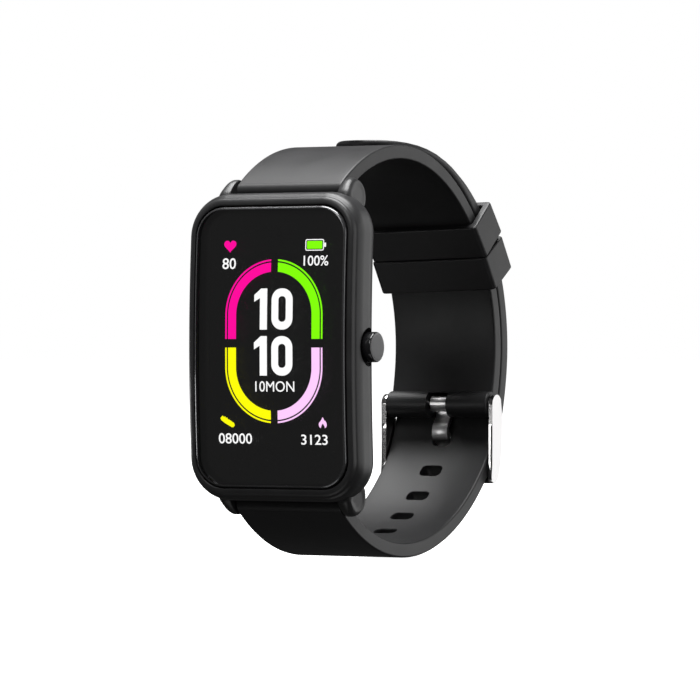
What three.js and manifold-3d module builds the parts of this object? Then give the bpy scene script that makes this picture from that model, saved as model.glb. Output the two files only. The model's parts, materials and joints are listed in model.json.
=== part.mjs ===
// A smartwatch on a closed silicone strap. Millimetres, +Z towards 12 o'clock, +X towards the crown side.
// The screen faces -Y, and the origin is the middle of the wrist that the strap closes around.
import * as THREE from "three";
import { mergeVertices } from "three/addons/utils/BufferGeometryUtils.js";
import Module from "manifold-3d";

const wasm = await Module();
wasm.setup();

// Driving dimensions. Depths (y) are measured from the crown of the front glass towards the wrist.
const WRIST_DEPTH = 33; // from the front glass to the middle of the wrist
const CASE_HALF_WIDTH = 14.65;
const CASE_HALF_HEIGHT = 23;
const CASE_CORNER = 6.3; // corner radius of the outline
const ARCH_RADIUS = 240; // the whole case is bent lengthwise on this radius
const INNER_INSET = 3.35; // from the outline to the inside wall of the case
const POCKET_INSET = 2.25; // from the outline to the wall around the rear cover
const GLASS_SEAT = { side: 1.63, end: 1.88 }; // from the outline to the opening around the glass
const SHELF_DEPTH = 1.75; // front shelf, which carries the glass
const POCKET_DEPTH = 7.2; // rear shelf, which carries the rear cover
// The front of the case from the opening out to the side, as [inset at a side, inset at an end, depth]
const BEZEL_PROFILE = [
  [GLASS_SEAT.side, GLASS_SEAT.end, 0.6],
  [1.3, 1.48, 0.3],
  [0.74, 0.86, 0.5],
  [0.52, 0.68, 0.95],
  [0.1, 0.16, 1.6],
  [0, 0, 2.45],
  [0, 0, 3.95],
];
const REAR_CURVE = { radius: 5, depth: 3.95, angles: [17, 34, 50] };
const REAR_EDGE = { inset: 1.95, depth: 7.9 };
const BOSS = { radius: 1.6, front: 4, back: 7.85, hole: 0.7, holeFront: 4.6 };

const GLASS = { width: 12.8, height: 20.9, corner: 4.5, back: 1.4 };
const GLASS_EDGE = [[0.3, 0], [0.1, 0.1], [0, 0.32]]; // [inset, depth] down the polished edge
const GASKET = { width: 12.7, height: 20.7, corner: 4.3, side: 1.3, end: 0.95, front: 1.45, back: 1.7 };
const PANEL = { width: 11.1, height: 19.4, corner: 2.6, front: 1.47, back: 2.8 };
const PANEL_FLEX = { halfWidth: 4, thickness: 0.15, front: 3.85, back: 6.9, outer: -18.2, inner: -16 };
const TRAY = { width: 10.6, height: 16.2, corner: 1.5, front: 2.95, back: 3.45 };
const TRAY_SLOT = [[-4.4, 2, -17], [4.4, 5, -15.4]];
const SWITCH_WALL = [[7.2, 3.2, -1.7], [7.8, 6, 1.7]];
const BOARD = { x: 9.8, front: 4.2, back: 4.8, bottom: 2.8, top: 15.8, notch: 1.4 };
const CHIPS = [[[-8.6, 4.75, 3.6], [-4.2, 5.6, 7.2]], [[2, 4.75, 3.4], [8.6, 5.5, 7.6]]];
const SHIELD = { low: [-1.4, 4.83, 9], high: [8.4, 6, 15], wall: 0.3, roof: 0.2 };
const CELL = [[-9.6, 4.15, -15.2], [9.6, 6.45, -2.6]];
const CELL_TAB = [[-3, 4.6, -2.65], [3, 5.6, -1.9]];
const MOTOR = { radius: 3.4, front: 4.85, back: 7, x: -5.9, z: 11.8 };
const ANTENNA = [[-7.6, 3.7, 16.75], [7.6, 6.4, 17]];
const ANTENNA_WINDOW = [[-5.4, 4.4, 16], [5.4, 5.7, 18]];

const COVER_INSET = 2.45;
const COVER_FRONT = 7.42;
// Rear cover from its front edge to its back face, as [inset, depth]
const COVER_PROFILE = [[0, COVER_FRONT], [0, 7.9], [0.3, 8.4], [0.95, 8.72], [2, 8.88]];
const COVER_HOLLOW = { width: 10.6, height: 15.8, corner: 1.4, front: 6, back: 8.15 };
const ISLAND_BACK = 9.7; // flat face of the raised sensor island
const ISLAND = { width: 6.8, height: 11, corner: 4, z: -1, front: 8.2, edge: 9.35, bevel: 0.35 };
const REAR_GASKET = { gap: 0.2, width: 0.75, front: 7.22, back: 7.38 };
const SENSOR_Z = 3;
const SENSOR_BOARD = { radius: 4.6, front: 6.6, back: 7.1 };
const WINDOW = { radius: 4.6, front: 9.1, bevel: 0.2, recess: 4.85, recessFront: 9, hole: 4 };
const LAMP = { inner: 1.2, outer: 2.6, bottom: 2.3, top: 3.7 };
const PHOTODIODE = { x: 0.9, bottom: 4.2, top: 6 };
const EMITTER = { front: 7.13, back: 7.6 }; // depth of the lamps and the photodiode
const CONTACT = { x: 2.6, z: -8, radius: 1, front: 7, back: 9.75, flange: 0.5, flangeFront: 6.65 };
const CONTACT_CLEARANCE = 0.1;
const WELD_DEPTH = 0.05; // how far joined pieces run into each other
const MAGNET = { inner: 6, outer: 9, front: 6.6, back: 7.4, bottom: -11, top: -5 };
const SCREW = { x: 10, z: 18.3, headRadius: 1.2, head: 0.6, shankRadius: 0.5, back: 9.45, tip: 5.4 };
const SCREW_CROSS = { arm: 0.75, half: 0.16, depth: 0.35 };
const SCREW_HOLE = { clearance: 0.2, seat: 8.8 };
const PAST = 11; // depth that a cutting tool runs to behind the rear cover

const BUTTON = { depth: 4.7, radius: 2.25, face: 15.95, under: 13.75, stemRadius: 0.8, stemEnd: 10.9 };
const BUTTON_GROOVE = { inner: 11.03, outer: 11.27, radius: 0.52 };
const BUTTON_CAP = { chamfer: 0.2, lip: 0.04, lipInner: 0.22, flat: 0.3 };
const BUTTON_RECESS = { radius: 2.8, floor: 13 };
const BUTTON_BORE = { radius: 0.88, sealRadius: 1.35, sealInner: 11.9, sealOuter: 12.5 };
const SEAL = { ring: 1.08, tube: 0.22, x: 12.2, sides: 6 };
const CLIP = { radius: 1.25, inner: 11.07, outer: 11.23, bore: 0.58, mouth: 0.45 };
const SWITCH = [[8.3, 3.9, -1.6], [9.9, 5.9, 1.6]];
const SWITCH_DOME = { radius: 0.6, inner: 9.8, outer: 10.3 };
const BUTTON_FLEX = [[7.95, 3.9, -1.5], [8.1, 5.9, 2.4]];

const STRAP_HALF_WIDTH = 9;
const STRAP_THICKNESS = 2.2;
const STRAP_BEVEL = 0.35;
const LAYER_GAP = 0.2; // between the two layers where the straps overlap
const STRAP_START = { y: 8.64, z: 23.35, angle: 124 }; // inner surface at the upper lugs, outward angle
const UPPER_ARCS = [[31, 60], [34, 28.6], [25, 43.3], [37.5, 15.2]]; // radius, sweep in degrees
const LOWER_ARCS = [[17, 20.8], [36.4, 33.9], [32.3, 23.4], [30.5, 28.6]];
const SHORT_END_SWEEP = 8.9; // how far the short strap follows its last arc
const TIP_ANGLE = 88; // outward angle at the free end of the long strap
const TIP_LENGTH = 18; // over which the free end narrows as a half ellipse
const TIP_STATIONS = [6, 20, 36, 54, 72, 90]; // angles around that half ellipse
const TAPER_LENGTH = 21; // over which it gets its full thickness
const TIP_THICKNESS = 0.8;
const SLOT = { halfWidth: 2.05, halfLength: 1.2, corner: 0.8, pitch: 6, before: 7, after: 5 };
const PRONG_SLOT = { past: 1.2, halfLength: 1.5 }; // distance past the end of the overlap

const LUG_BAR = { y: 7.4, z: 23.4 }; // axis of the spring bar between the upper lugs
const LOWER_LUG_BAR = { y: LUG_BAR.y, z: -LUG_BAR.z };
const LUG = { inner: 9.2, outer: 11.6, radius: 1.95, bevel: 0.7, from: 152, to: -8, steps: 7 };
const LUG_FOOT = [[5, 20.6], [4.6, 22.5], [8.6, 20.6]]; // where a lug leaves the case: [depth, height]
const LUG_HOLE = 1.6; // depth of a spring bar's hole
const STRAP_BARREL = 1.85; // radius of the strap's rolled end at the lugs
const BAR_CHANNEL = 2.25; // radius of the hollow in the case that the rolled end turns in
const BAR = { tube: 0.75, bore: 0.6, plug: 0.5, nose: 0.4, noseHole: 0.55, clearance: 0.85, travel: 0.9 };
const BAR_STEP = 0.15; // chamfer and shoulder of a tip
const PLUG_LENGTH = 2;
const LUG_BAR_ENDS = { tube: 8.6, tip: LUG.inner + 1.1 };
const COIL = { turns: 7, wire: 0.09, gap: 0.1, perTurn: 6 };

const BUCKLE_BAR = { y: 55.75, z: -9.1 };
const BUCKLE_BARREL = 2.1;
const RAIL = { inner: 9.35, outer: 9.95, radius: 1.5 };
// The rail beyond its round end, as [depth, height] from the bar, and the crossbar between the rails
const RAIL_END = [[1.5, -3], [1.2, -9.2], [0.6, -11.3], [-0.3, -12.3], [-1.2, -12.4], [-1.8, -11.6]];
const BUCKLE_BAR_ENDS = { tube: 9.1, tip: RAIL.outer - 0.1 };
const CROSSBAR = { y: 55.3, z: -20.6, along: 1.25, through: 0.45, tilt: -134 };
const PRONG = { halfWidth: 1.36, ring: 1.35, halfThickness: 0.35 };
// Middle line of the prong: off the bar, out through its slot and down over the crossbar
const PRONG_ROUTE = [
  [55.9, -10],
  [55.65, -11.6],
  [55.55, -13.2],
  [55.65, -14.35],
  [58, -15.95],
  [58.2, -17.1],
  [57, -20.2],
  [56, -21.6],
];
const PRONG_NOTCH = { halfWidth: 1.8, reach: 4, top: 1.9 }; // the gap for the prong in the rolled end

const KEEPER = { halfWidth: 10.3, wall: 1.15, clearance: 0.15, bevel: 0.3, innerBevel: 0.1 };
const KEEPER_UPPER = { from: 44.7, to: 35.75 }; // on the second arc of the short strap
const KEEPER_LOWER = { from: 35.05, to: 23.7 }; // on its third arc

const ROUND = 16; // sides of a small cylinder
const SMALL_ROUND = 10;
const WIDE_ROUND = 20;
const CORNER_STEPS = 4; // stretches of a case corner
const SIDE_STEPS = 6; // stretches of a case side, which let it bend
const ARC_STEP = 7.5; // degrees between stations along the strap
const WELD = 1e-4;

// Finishes
const CASE_BLACK = { color: 0x2a2a2c, roughness: 0.55, metalness: 0.15 };
const GLASS_BLACK = { color: 0x131314, roughness: 0.06, metalness: 0 };
const SCREEN = { color: 0x17171a, roughness: 0.3, metalness: 0 };
const GASKET_BLACK = { color: 0x0b0b0b, roughness: 0.9, metalness: 0 };
const SILICONE = { color: 0x232324, roughness: 0.7, metalness: 0 };
const STEEL = { color: 0xd8d9dc, roughness: 0.18, metalness: 1 };
const SPRING_STEEL = { color: 0x9b9da1, roughness: 0.35, metalness: 1 };
const BUTTON_BLACK = { color: 0x101011, roughness: 0.15, metalness: 0.3 };
const CHASSIS_GREY = { color: 0x77797c, roughness: 0.6, metalness: 0.4 };
const BOARD_GREEN = { color: 0x1c4a32, roughness: 0.6, metalness: 0 };
const FLEX_AMBER = { color: 0xa9662a, roughness: 0.5, metalness: 0 };
const CELL_SILVER = { color: 0xb4b6b8, roughness: 0.4, metalness: 0.6 };
const GOLD = { color: 0xd9b25a, roughness: 0.25, metalness: 1 };
const COVER_BLACK = { color: 0x1b1b1c, roughness: 0.45, metalness: 0 };
const SENSOR_DARK = { color: 0x0d0f12, roughness: 0.08, metalness: 0 };
const LAMP_GREEN = { color: 0x9fe0a8, roughness: 0.3, metalness: 0 };

// Small helpers

function part(name, geometry, finish) {
  const mesh = new THREE.Mesh(geometry, new THREE.MeshStandardMaterial(finish));
  mesh.name = name;
  return mesh;
}

function solidOf(geometry) {
  const bare = new THREE.BufferGeometry();
  bare.setAttribute("position", geometry.getAttribute("position"));
  bare.setIndex(geometry.index);
  const merged = mergeVertices(bare, WELD);
  const vertProperties = merged.getAttribute("position").array;
  const triVerts = new Uint32Array(merged.index.array);
  return new wasm.Manifold(new wasm.Mesh({ numProp: 3, vertProperties, triVerts }));
}

function geometryOf(solid) {
  const mesh = solid.getMesh();
  const geometry = new THREE.BufferGeometry();
  geometry.setAttribute("position", new THREE.BufferAttribute(mesh.vertProperties, 3));
  geometry.setIndex(new THREE.BufferAttribute(mesh.triVerts, 1));
  return geometry;
}

function join(...pieces) {
  return geometryOf(pieces.map(solidOf).reduce((whole, piece) => whole.add(piece)));
}

function cut(body, ...tools) {
  return geometryOf(tools.map(solidOf).reduce((rest, tool) => rest.subtract(tool), solidOf(body)));
}

function unit(degrees) {
  const angle = THREE.MathUtils.degToRad(degrees);
  return new THREE.Vector2(Math.cos(angle), Math.sin(angle));
}

// Closes the outline of one loop with a ladder of faces between its left and right halves.
function ladder(first, count, forward) {
  const faces = [];
  for (let i = 0; i < count / 2; i += 1) {
    const [a, b, c, d] = [i, i + 1, count - i - 1, (count - i) % count].map((k) => first + k);
    const pair = forward ? [[a, b, c], [a, c, d]] : [[a, c, b], [a, d, c]];
    faces.push(...pair.filter((face) => new Set(face).size === 3));
  }
  return faces;
}

// A closed surface through loops of equally many points. A loop starts on the plane x = 0 and its
// second half mirrors its first. The loops form a ring, or the first and last are closed off.
function skin(loops, ring = false) {
  const count = loops[0].length;
  const faces = [];
  loops.slice(ring ? 0 : 1).forEach((_, k) => {
    const here = k * count;
    const next = ((k + 1) % loops.length) * count;
    for (let i = 0; i < count; i += 1) {
      const j = (i + 1) % count;
      faces.push([here + i, here + j, next + j], [here + i, next + j, next + i]);
    }
  });
  if (!ring) {
    faces.push(...ladder(0, count, false), ...ladder((loops.length - 1) * count, count, true));
  }
  const points = loops.flat();
  const volume = faces.reduce(
    (sum, [a, b, c]) => sum + points[a].dot(points[b].clone().cross(points[c])),
    0,
  );
  const outward = volume > 0 ? faces : faces.map(([a, b, c]) => [a, c, b]);
  const geometry = new THREE.BufferGeometry().setFromPoints(points);
  geometry.setIndex(outward.flat());
  return geometry;
}

// A cylinder along X, and one along Y.
function rod(radius, x0, x1, { y, z }, sides = ROUND) {
  const geometry = new THREE.CylinderGeometry(radius, radius, x1 - x0, sides);
  return geometry.rotateZ(-Math.PI / 2).translate((x0 + x1) / 2, y, z);
}

function post(radius, y0, y1, x, z, sides = ROUND) {
  const geometry = new THREE.CylinderGeometry(radius, radius, y1 - y0, sides);
  return geometry.translate(x, (y0 + y1) / 2, z);
}

// A box between two corners.
function block([x0, y0, z0], [x1, y1, z1]) {
  const geometry = new THREE.BoxGeometry(x1 - x0, y1 - y0, z1 - z0);
  return geometry.translate((x0 + x1) / 2, (y0 + y1) / 2, (z0 + z1) / 2);
}

// A prism along X from an outline of [y, z] points.
function prism(outline, x0, x1, bevel = 0) {
  const shape = new THREE.Shape(outline.map(([y, z]) => new THREE.Vector2(y, z)));
  const geometry = new THREE.ExtrudeGeometry(shape, {
    depth: x1 - x0 - 2 * bevel,
    bevelEnabled: bevel > 0,
    bevelThickness: bevel,
    bevelSize: bevel,
    bevelOffset: -bevel,
    bevelSegments: 1,
  });
  const [xAxis, yAxis, zAxis] = [[1, 0, 0], [0, 1, 0], [0, 0, 1]].map((v) => new THREE.Vector3(...v));
  geometry.applyMatrix4(new THREE.Matrix4().makeBasis(yAxis, zAxis, xAxis));
  return geometry.translate(x0 + bevel, 0, 0);
}

function arcPoints({ y, z }, radius, from, to, steps) {
  return Array.from({ length: steps + 1 }, (_, i) => {
    const direction = unit(THREE.MathUtils.lerp(from, to, i / steps));
    return [y + radius * direction.x, z + radius * direction.y];
  });
}

// A round body turned about the axis X: profile of [x, radius] pairs that starts and ends on the axis.
function turned(profile, { y, z }, sides = ROUND) {
  const points = profile.map(([x, radius]) => new THREE.Vector2(radius, x));
  return new THREE.LatheGeometry(points, sides).rotateZ(-Math.PI / 2).translate(0, y, z);
}

// Case outlines: rounded rectangles that bend back towards the top and the bottom.

function arch(z) {
  return ARCH_RADIUS - Math.sqrt(ARCH_RADIUS ** 2 - z ** 2);
}

function roundedHalf(width, height, corner) {
  const top = arcPoints({ y: width - corner, z: height - corner }, corner, 90, 0, CORNER_STEPS);
  const bottom = arcPoints({ y: width - corner, z: corner - height }, corner, 0, -90, CORNER_STEPS);
  const straight = Array.from({ length: SIDE_STEPS - 1 }, (_, i) => [
    width,
    THREE.MathUtils.lerp(height - corner, corner - height, (i + 1) / SIDE_STEPS),
  ]);
  return [[0, height], ...top, ...straight, ...bottom, [0, -height]];
}

function outlineLoop({ width, height, corner, depth, bent = true, z = 0 }) {
  const right = roundedHalf(width, height, corner);
  const left = right.slice(1, -1).reverse().map(([x, up]) => [-x, up]);
  return [...right, ...left].map(
    ([x, up]) => new THREE.Vector3(x, depth + (bent ? arch(up + z) : 0), up + z),
  );
}

function insetLoop(side, end, depth) {
  return outlineLoop({
    width: CASE_HALF_WIDTH - side,
    height: CASE_HALF_HEIGHT - end,
    corner: CASE_CORNER - (side + end) / 2,
    depth,
  });
}

function plate({ width, height, corner, front, back }) {
  return skin([front, back].map((depth) => outlineLoop({ width, height, corner, depth })));
}

// Case and what it holds

function lugOutline(sign) {
  const { radius, from, to, steps } = LUG;
  const [front, shoulder, rear] = LUG_FOOT;
  const crown = arcPoints(LUG_BAR, radius, from, to, steps);
  return [front, shoulder, ...crown, rear].map(([y, z]) => [y, sign * z]);
}

function lugs() {
  const { inner, outer, bevel } = LUG;
  return [1, -1].flatMap((sign) => [
    prism(lugOutline(sign), inner, outer, bevel),
    prism(lugOutline(sign), -outer, -inner, bevel),
  ]);
}

function screwPlaces() {
  return [[1, 1], [-1, 1], [1, -1], [-1, -1]].map(([sx, sz]) => [sx * SCREW.x, sz * SCREW.z]);
}

function caseShell() {
  const { radius, depth, angles } = REAR_CURVE;
  const rearCurve = angles.map((degrees) => {
    const turn = unit(degrees);
    const inset = radius * (1 - turn.x);
    return insetLoop(inset, inset, depth + radius * turn.y);
  });
  const pocket = (inset, back) => insetLoop(inset, inset, back);
  return skin(
    [
      ...BEZEL_PROFILE.map((step) => insetLoop(...step)),
      ...rearCurve,
      pocket(REAR_EDGE.inset, REAR_EDGE.depth),
      pocket(POCKET_INSET, REAR_EDGE.depth),
      pocket(POCKET_INSET, POCKET_DEPTH),
      pocket(INNER_INSET, POCKET_DEPTH),
      pocket(INNER_INSET, SHELF_DEPTH),
      insetLoop(GLASS_SEAT.side, GLASS_SEAT.end, SHELF_DEPTH),
    ],
    true,
  );
}

// Room for the button: its bore, the groove of its seal and the recess around its head
function buttonHoles() {
  const axis = { y: BUTTON.depth, z: 0 };
  const { radius, sealRadius, sealInner, sealOuter } = BUTTON_BORE;
  return [
    rod(radius, CASE_HALF_WIDTH - 2 * INNER_INSET, CASE_HALF_WIDTH, axis),
    rod(sealRadius, sealInner, sealOuter, axis),
    rod(BUTTON_RECESS.radius, BUTTON_RECESS.floor, BUTTON.face, axis, WIDE_ROUND),
  ];
}

function caseFrame() {
  const { radius, front, back, hole, holeFront } = BOSS;
  const bosses = screwPlaces().map(([x, z]) => post(radius, front, back, x, z, SMALL_ROUND));
  const bossHoles = screwPlaces().map(([x, z]) => post(hole, holeFront, PAST, x, z, SMALL_ROUND));
  const holeEnd = LUG.inner + LUG_HOLE;
  const barHoles = [LUG_BAR, LOWER_LUG_BAR].flatMap((axis) => [
    rod(BAR_CHANNEL, -LUG.inner, LUG.inner, axis, WIDE_ROUND),
    rod(BAR.noseHole, -holeEnd, holeEnd, axis, SMALL_ROUND),
  ]);
  return cut(join(caseShell(), ...bosses, ...lugs()), ...bossHoles, ...barHoles, ...buttonHoles());
}

function coverGlass() {
  const { width, height, corner, back } = GLASS;
  const loops = [...GLASS_EDGE, [0, back]].map(([inset, depth]) => outlineLoop({
    width: width - inset,
    height: height - inset,
    corner: corner - inset,
    depth,
  }));
  return skin(loops);
}

function glassGasket() {
  const { width, height, corner, side, end, front, back } = GASKET;
  const outer = { width, height, corner };
  const inner = { width: width - side, height: height - end, corner: corner - side };
  const corners = [[outer, front], [outer, back], [inner, back], [inner, front]];
  return skin(corners.map(([size, depth]) => outlineLoop({ ...size, depth })), true);
}

function chassis() {
  return join(cut(plate(TRAY), block(...TRAY_SLOT)), block(...SWITCH_WALL));
}

// A thin strip off the bottom of the display that folds back past the battery
function displayFlex() {
  const { halfWidth, thickness, front, back, outer, inner } = PANEL_FLEX;
  const outline = [
    [front, outer],
    [front, inner - thickness],
    [back, inner - thickness],
    [back, inner],
    [front - thickness, inner],
    [front - thickness, outer],
  ];
  return prism(outline, -halfWidth, halfWidth);
}

function mainBoard() {
  const { x, front, back, bottom, top, notch } = BOARD;
  const board = block([-x, front, bottom], [x, back, top]);
  const notches = [-x, x].map((side) => post(notch, front - 1, back + 1, side, top));
  return join(cut(board, ...notches), ...CHIPS.map((corners) => block(...corners)));
}

function processorShield() {
  const { low, high, wall, roof } = SHIELD;
  const hollow = block(
    [low[0] + wall, low[1] - roof, low[2] + wall],
    [high[0] - wall, high[1] - roof, high[2] - wall],
  );
  return cut(block(low, high), hollow);
}

function battery() {
  return join(block(...CELL), block(...CELL_TAB));
}

function vibrationMotor() {
  const { radius, front, back, x, z } = MOTOR;
  return post(radius, front, back, x, z);
}

function antennaStrip() {
  return cut(block(...ANTENNA), block(...ANTENNA_WINDOW));
}

function sensorIsland() {
  const { width, height, corner, z, front, edge, bevel } = ISLAND;
  const loops = [[0, front], [0, edge], [bevel, ISLAND_BACK]].map(([inset, depth]) => outlineLoop({
    width: width - inset,
    height: height - inset,
    corner: corner - inset,
    depth,
    bent: false,
    z,
  }));
  return skin(loops);
}

function rearCover() {
  const rings = COVER_PROFILE.map(([inset, depth]) => {
    const total = COVER_INSET + inset;
    return insetLoop(total, total, depth);
  });
  const shell = cut(skin(rings), plate(COVER_HOLLOW));
  const front = COVER_HOLLOW.front;
  const { recess, recessFront, hole } = WINDOW;
  const windowHoles = [
    post(recess, recessFront, PAST, 0, SENSOR_Z, WIDE_ROUND),
    post(hole, front, PAST, 0, SENSOR_Z),
  ];
  const contactHoles = [-1, 1].map((side) => (
    post(CONTACT.radius + CONTACT_CLEARANCE, front, PAST, side * CONTACT.x, CONTACT.z)
  ));
  const { clearance, seat } = SCREW_HOLE;
  const screwHoles = screwPlaces().flatMap(([x, z]) => [
    post(SCREW.headRadius + clearance, seat, PAST, x, z, SMALL_ROUND),
    post(SCREW.shankRadius + clearance, front, PAST, x, z, SMALL_ROUND),
  ]);
  return cut(join(shell, sensorIsland()), ...windowHoles, ...contactHoles, ...screwHoles);
}

function rearGasket() {
  const { gap, width, front, back } = REAR_GASKET;
  const outer = POCKET_INSET + gap;
  const inner = outer + width;
  const corners = [[outer, front], [outer, back], [inner, back], [inner, front]];
  return skin(corners.map(([inset, depth]) => insetLoop(inset, inset, depth)), true);
}

function coverScrew(x, z) {
  const { headRadius, head, shankRadius, back, tip } = SCREW;
  const { arm, half, depth } = SCREW_CROSS;
  const underHead = back - head;
  const body = join(
    post(headRadius, underHead, back, x, z, SMALL_ROUND),
    post(shankRadius, tip, underHead + head / 2, x, z, SMALL_ROUND),
  );
  return cut(
    body,
    block([x - arm, back - depth, z - half], [x + arm, PAST, z + half]),
    block([x - half, back - depth, z - arm], [x + half, PAST, z + arm]),
  );
}

function sensorBoard() {
  const { radius, front, back } = SENSOR_BOARD;
  return post(radius, front, back, 0, SENSOR_Z, WIDE_ROUND);
}

function sensorWindow() {
  const { radius, front, bevel } = WINDOW;
  const profile = [
    [0, front],
    [radius, front],
    [radius, ISLAND_BACK - bevel],
    [radius - bevel, ISLAND_BACK],
    [0, ISLAND_BACK],
  ];
  const points = profile.map(([r, y]) => new THREE.Vector2(r, y));
  return new THREE.LatheGeometry(points, WIDE_ROUND).translate(0, 0, SENSOR_Z);
}

function sensorLamp(side) {
  const { inner, outer, bottom, top } = LAMP;
  const [low, high] = side > 0 ? [inner, outer] : [-outer, -inner];
  return block([low, EMITTER.front, bottom], [high, EMITTER.back, top]);
}

function sensorPhotodiode() {
  const { x, bottom, top } = PHOTODIODE;
  return block([-x, EMITTER.front, bottom], [x, EMITTER.back, top]);
}

function chargeContact(side) {
  const { radius, front, back, flange, flangeFront, z } = CONTACT;
  const x = side * CONTACT.x;
  return join(
    post(radius, front, back, x, z),
    post(radius + flange, flangeFront, front + WELD_DEPTH, x, z),
  );
}

function chargeMagnet(side) {
  const { inner, outer, front, back, bottom, top } = MAGNET;
  const [low, high] = side > 0 ? [inner, outer] : [-outer, -inner];
  return block([low, front, bottom], [high, back, top]);
}

// Side button: a head in its recess, a stem through the wall, a seal around it and a clip that keeps it.

function button() {
  const { radius, face, under, stemRadius, stemEnd, depth } = BUTTON;
  const { chamfer, lip, lipInner, flat } = BUTTON_CAP;
  const groove = BUTTON_GROOVE;
  const profile = [
    [stemEnd, 0],
    [stemEnd, stemRadius],
    [groove.inner, stemRadius],
    [groove.inner, groove.radius],
    [groove.outer, groove.radius],
    [groove.outer, stemRadius],
    [under, stemRadius],
    [under, radius],
    [face - chamfer, radius],
    [face - lip, radius - chamfer / 2],
    [face - lip, radius - lipInner],
    [face, radius - flat],
    [face, 0],
  ];
  return turned(profile, { y: depth, z: 0 }, WIDE_ROUND);
}

function buttonSeal() {
  const { ring, tube, x, sides } = SEAL;
  const geometry = new THREE.TorusGeometry(ring, tube, sides, ROUND);
  return geometry.rotateY(Math.PI / 2).translate(x, BUTTON.depth, 0);
}

function buttonClip() {
  const { radius, inner, outer, bore, mouth } = CLIP;
  const axis = { y: BUTTON.depth, z: 0 };
  const opening = block([inner - 1, axis.y - mouth, -2 * radius], [outer + 1, axis.y + mouth, 0]);
  return cut(rod(radius, inner, outer, axis), rod(bore, inner - 1, outer + 1, axis), opening);
}

function buttonSwitch() {
  const { radius, inner, outer } = SWITCH_DOME;
  const dome = rod(radius, inner, outer, { y: BUTTON.depth, z: 0 }, SMALL_ROUND);
  return join(block(...SWITCH), dome);
}

// Spring bars: a tube with a coil spring inside that pushes a stepped tip out of each end.

function springBar(name, centre, ends) {
  const tube = cut(
    rod(BAR.tube, -ends.tube, ends.tube, centre, SMALL_ROUND),
    rod(BAR.bore, -ends.tube - 1, ends.tube + 1, centre, SMALL_ROUND),
  );
  const plugStart = ends.tube - PLUG_LENGTH;
  const profile = [
    [plugStart, 0],
    [plugStart, BAR.plug],
    [ends.tube + BAR_STEP / 3, BAR.plug],
    [ends.tube + BAR_STEP, BAR.nose],
    [ends.tip - BAR_STEP, BAR.nose],
    [ends.tip, BAR.nose - BAR_STEP],
    [ends.tip, 0],
  ];
  const tip = () => turned(profile, { y: 0, z: 0 }, SMALL_ROUND);
  const right = part(`${name}_bar_tip_right`, tip(), STEEL);
  const left = part(`${name}_bar_tip_left`, tip(), STEEL);
  right.position.set(0, centre.y, centre.z);
  left.position.set(0, centre.y, centre.z);
  left.rotation.z = Math.PI;
  const spring = part(`${name}_bar_spring`, coil(plugStart - BAR.travel - COIL.gap), SPRING_STEEL);
  spring.position.set(0, centre.y, centre.z);
  return [part(`${name}_bar_tube`, tube, STEEL), right, left, spring];
}

class Helix extends THREE.Curve {
  constructor(halfLength, turns, radius) {
    super();
    Object.assign(this, { halfLength, turns, radius });
  }

  getPoint(t, target = new THREE.Vector3()) {
    const angle = 2 * Math.PI * this.turns * t;
    const x = THREE.MathUtils.lerp(-this.halfLength, this.halfLength, t);
    return target.set(x, this.radius * Math.cos(angle), this.radius * Math.sin(angle));
  }
}

function coil(halfLength) {
  const { turns, wire, perTurn } = COIL;
  const section = new THREE.Shape([0, 120, 240].map((degrees) => unit(degrees).multiplyScalar(wire)));
  const path = new Helix(halfLength, turns, BAR.plug - 1.5 * wire);
  const options = { steps: turns * perTurn, extrudePath: path, bevelEnabled: false };
  return new THREE.ExtrudeGeometry(section, options);
}

// Strap paths: chains of tangent arcs in the YZ plane. An arc's angles are those of its outward normal.

function onArc(arc, angle, offset = 0) {
  const outward = unit(angle);
  const reach = arc.radius + offset;
  return { y: arc.centre.y + reach * outward.x, z: arc.centre.z + reach * outward.y };
}

function chainArcs(start, startAngle, list) {
  let point = start;
  let angle = startAngle;
  return list.map(([radius, sweep]) => {
    const outward = unit(angle);
    const centre = { y: point.y - radius * outward.x, z: point.z - radius * outward.y };
    const arc = { centre, radius, from: angle, to: angle - sweep };
    angle = arc.to;
    point = onArc(arc, angle);
    return arc;
  });
}

function arcLength(arc) {
  return arc.radius * THREE.MathUtils.degToRad(arc.from - arc.to);
}

const loopArcs = chainArcs(STRAP_START, STRAP_START.angle, UPPER_ARCS);
const shortPath = loopArcs.map((arc, i) => (
  i < loopArcs.length - 1 ? arc : { ...arc, to: arc.from - SHORT_END_SWEEP }
));
const overlapArcs = loopArcs.map((arc, i) => ({
  ...arc,
  radius: arc.radius + STRAP_THICKNESS + LAYER_GAP,
  from: i === 0 ? TIP_ANGLE : arc.from,
}));
const overlapEnd = overlapArcs.at(-1);
const lowerArcs = chainArcs(onArc(overlapEnd, overlapEnd.to), overlapEnd.to, LOWER_ARCS);
const longPath = [...overlapArcs, ...lowerArcs];

function stationsOf(path) {
  return path.flatMap((arc, k) => {
    const steps = Math.ceil((arc.from - arc.to) / ARC_STEP);
    const stations = Array.from({ length: steps + 1 }, (_, i) => {
      const angle = THREE.MathUtils.lerp(arc.from, arc.to, i / steps);
      return { arc, angle };
    });
    return stations.slice(k === 0 ? 0 : 1);
  });
}

// Cross-section of a band as [x, height] points: a rectangle with small bevels.
function bandSection(halfWidth, low, high, bevel) {
  const right = [
    [0, high],
    [halfWidth - bevel, high],
    [halfWidth, high - bevel],
    [halfWidth, low + bevel],
    [halfWidth - bevel, low],
    [0, low],
  ];
  const left = right.slice(1, -1).reverse().map(([x, up]) => [-x, up]);
  return [...right, ...left];
}

function bandLoop({ arc, angle }, section) {
  return section.map(([x, up]) => {
    const point = onArc(arc, angle, up);
    return new THREE.Vector3(x, point.y, point.z);
  });
}

function band(path, section) {
  return skin(stationsOf(path).map((station) => bandLoop(station, section)));
}

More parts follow.
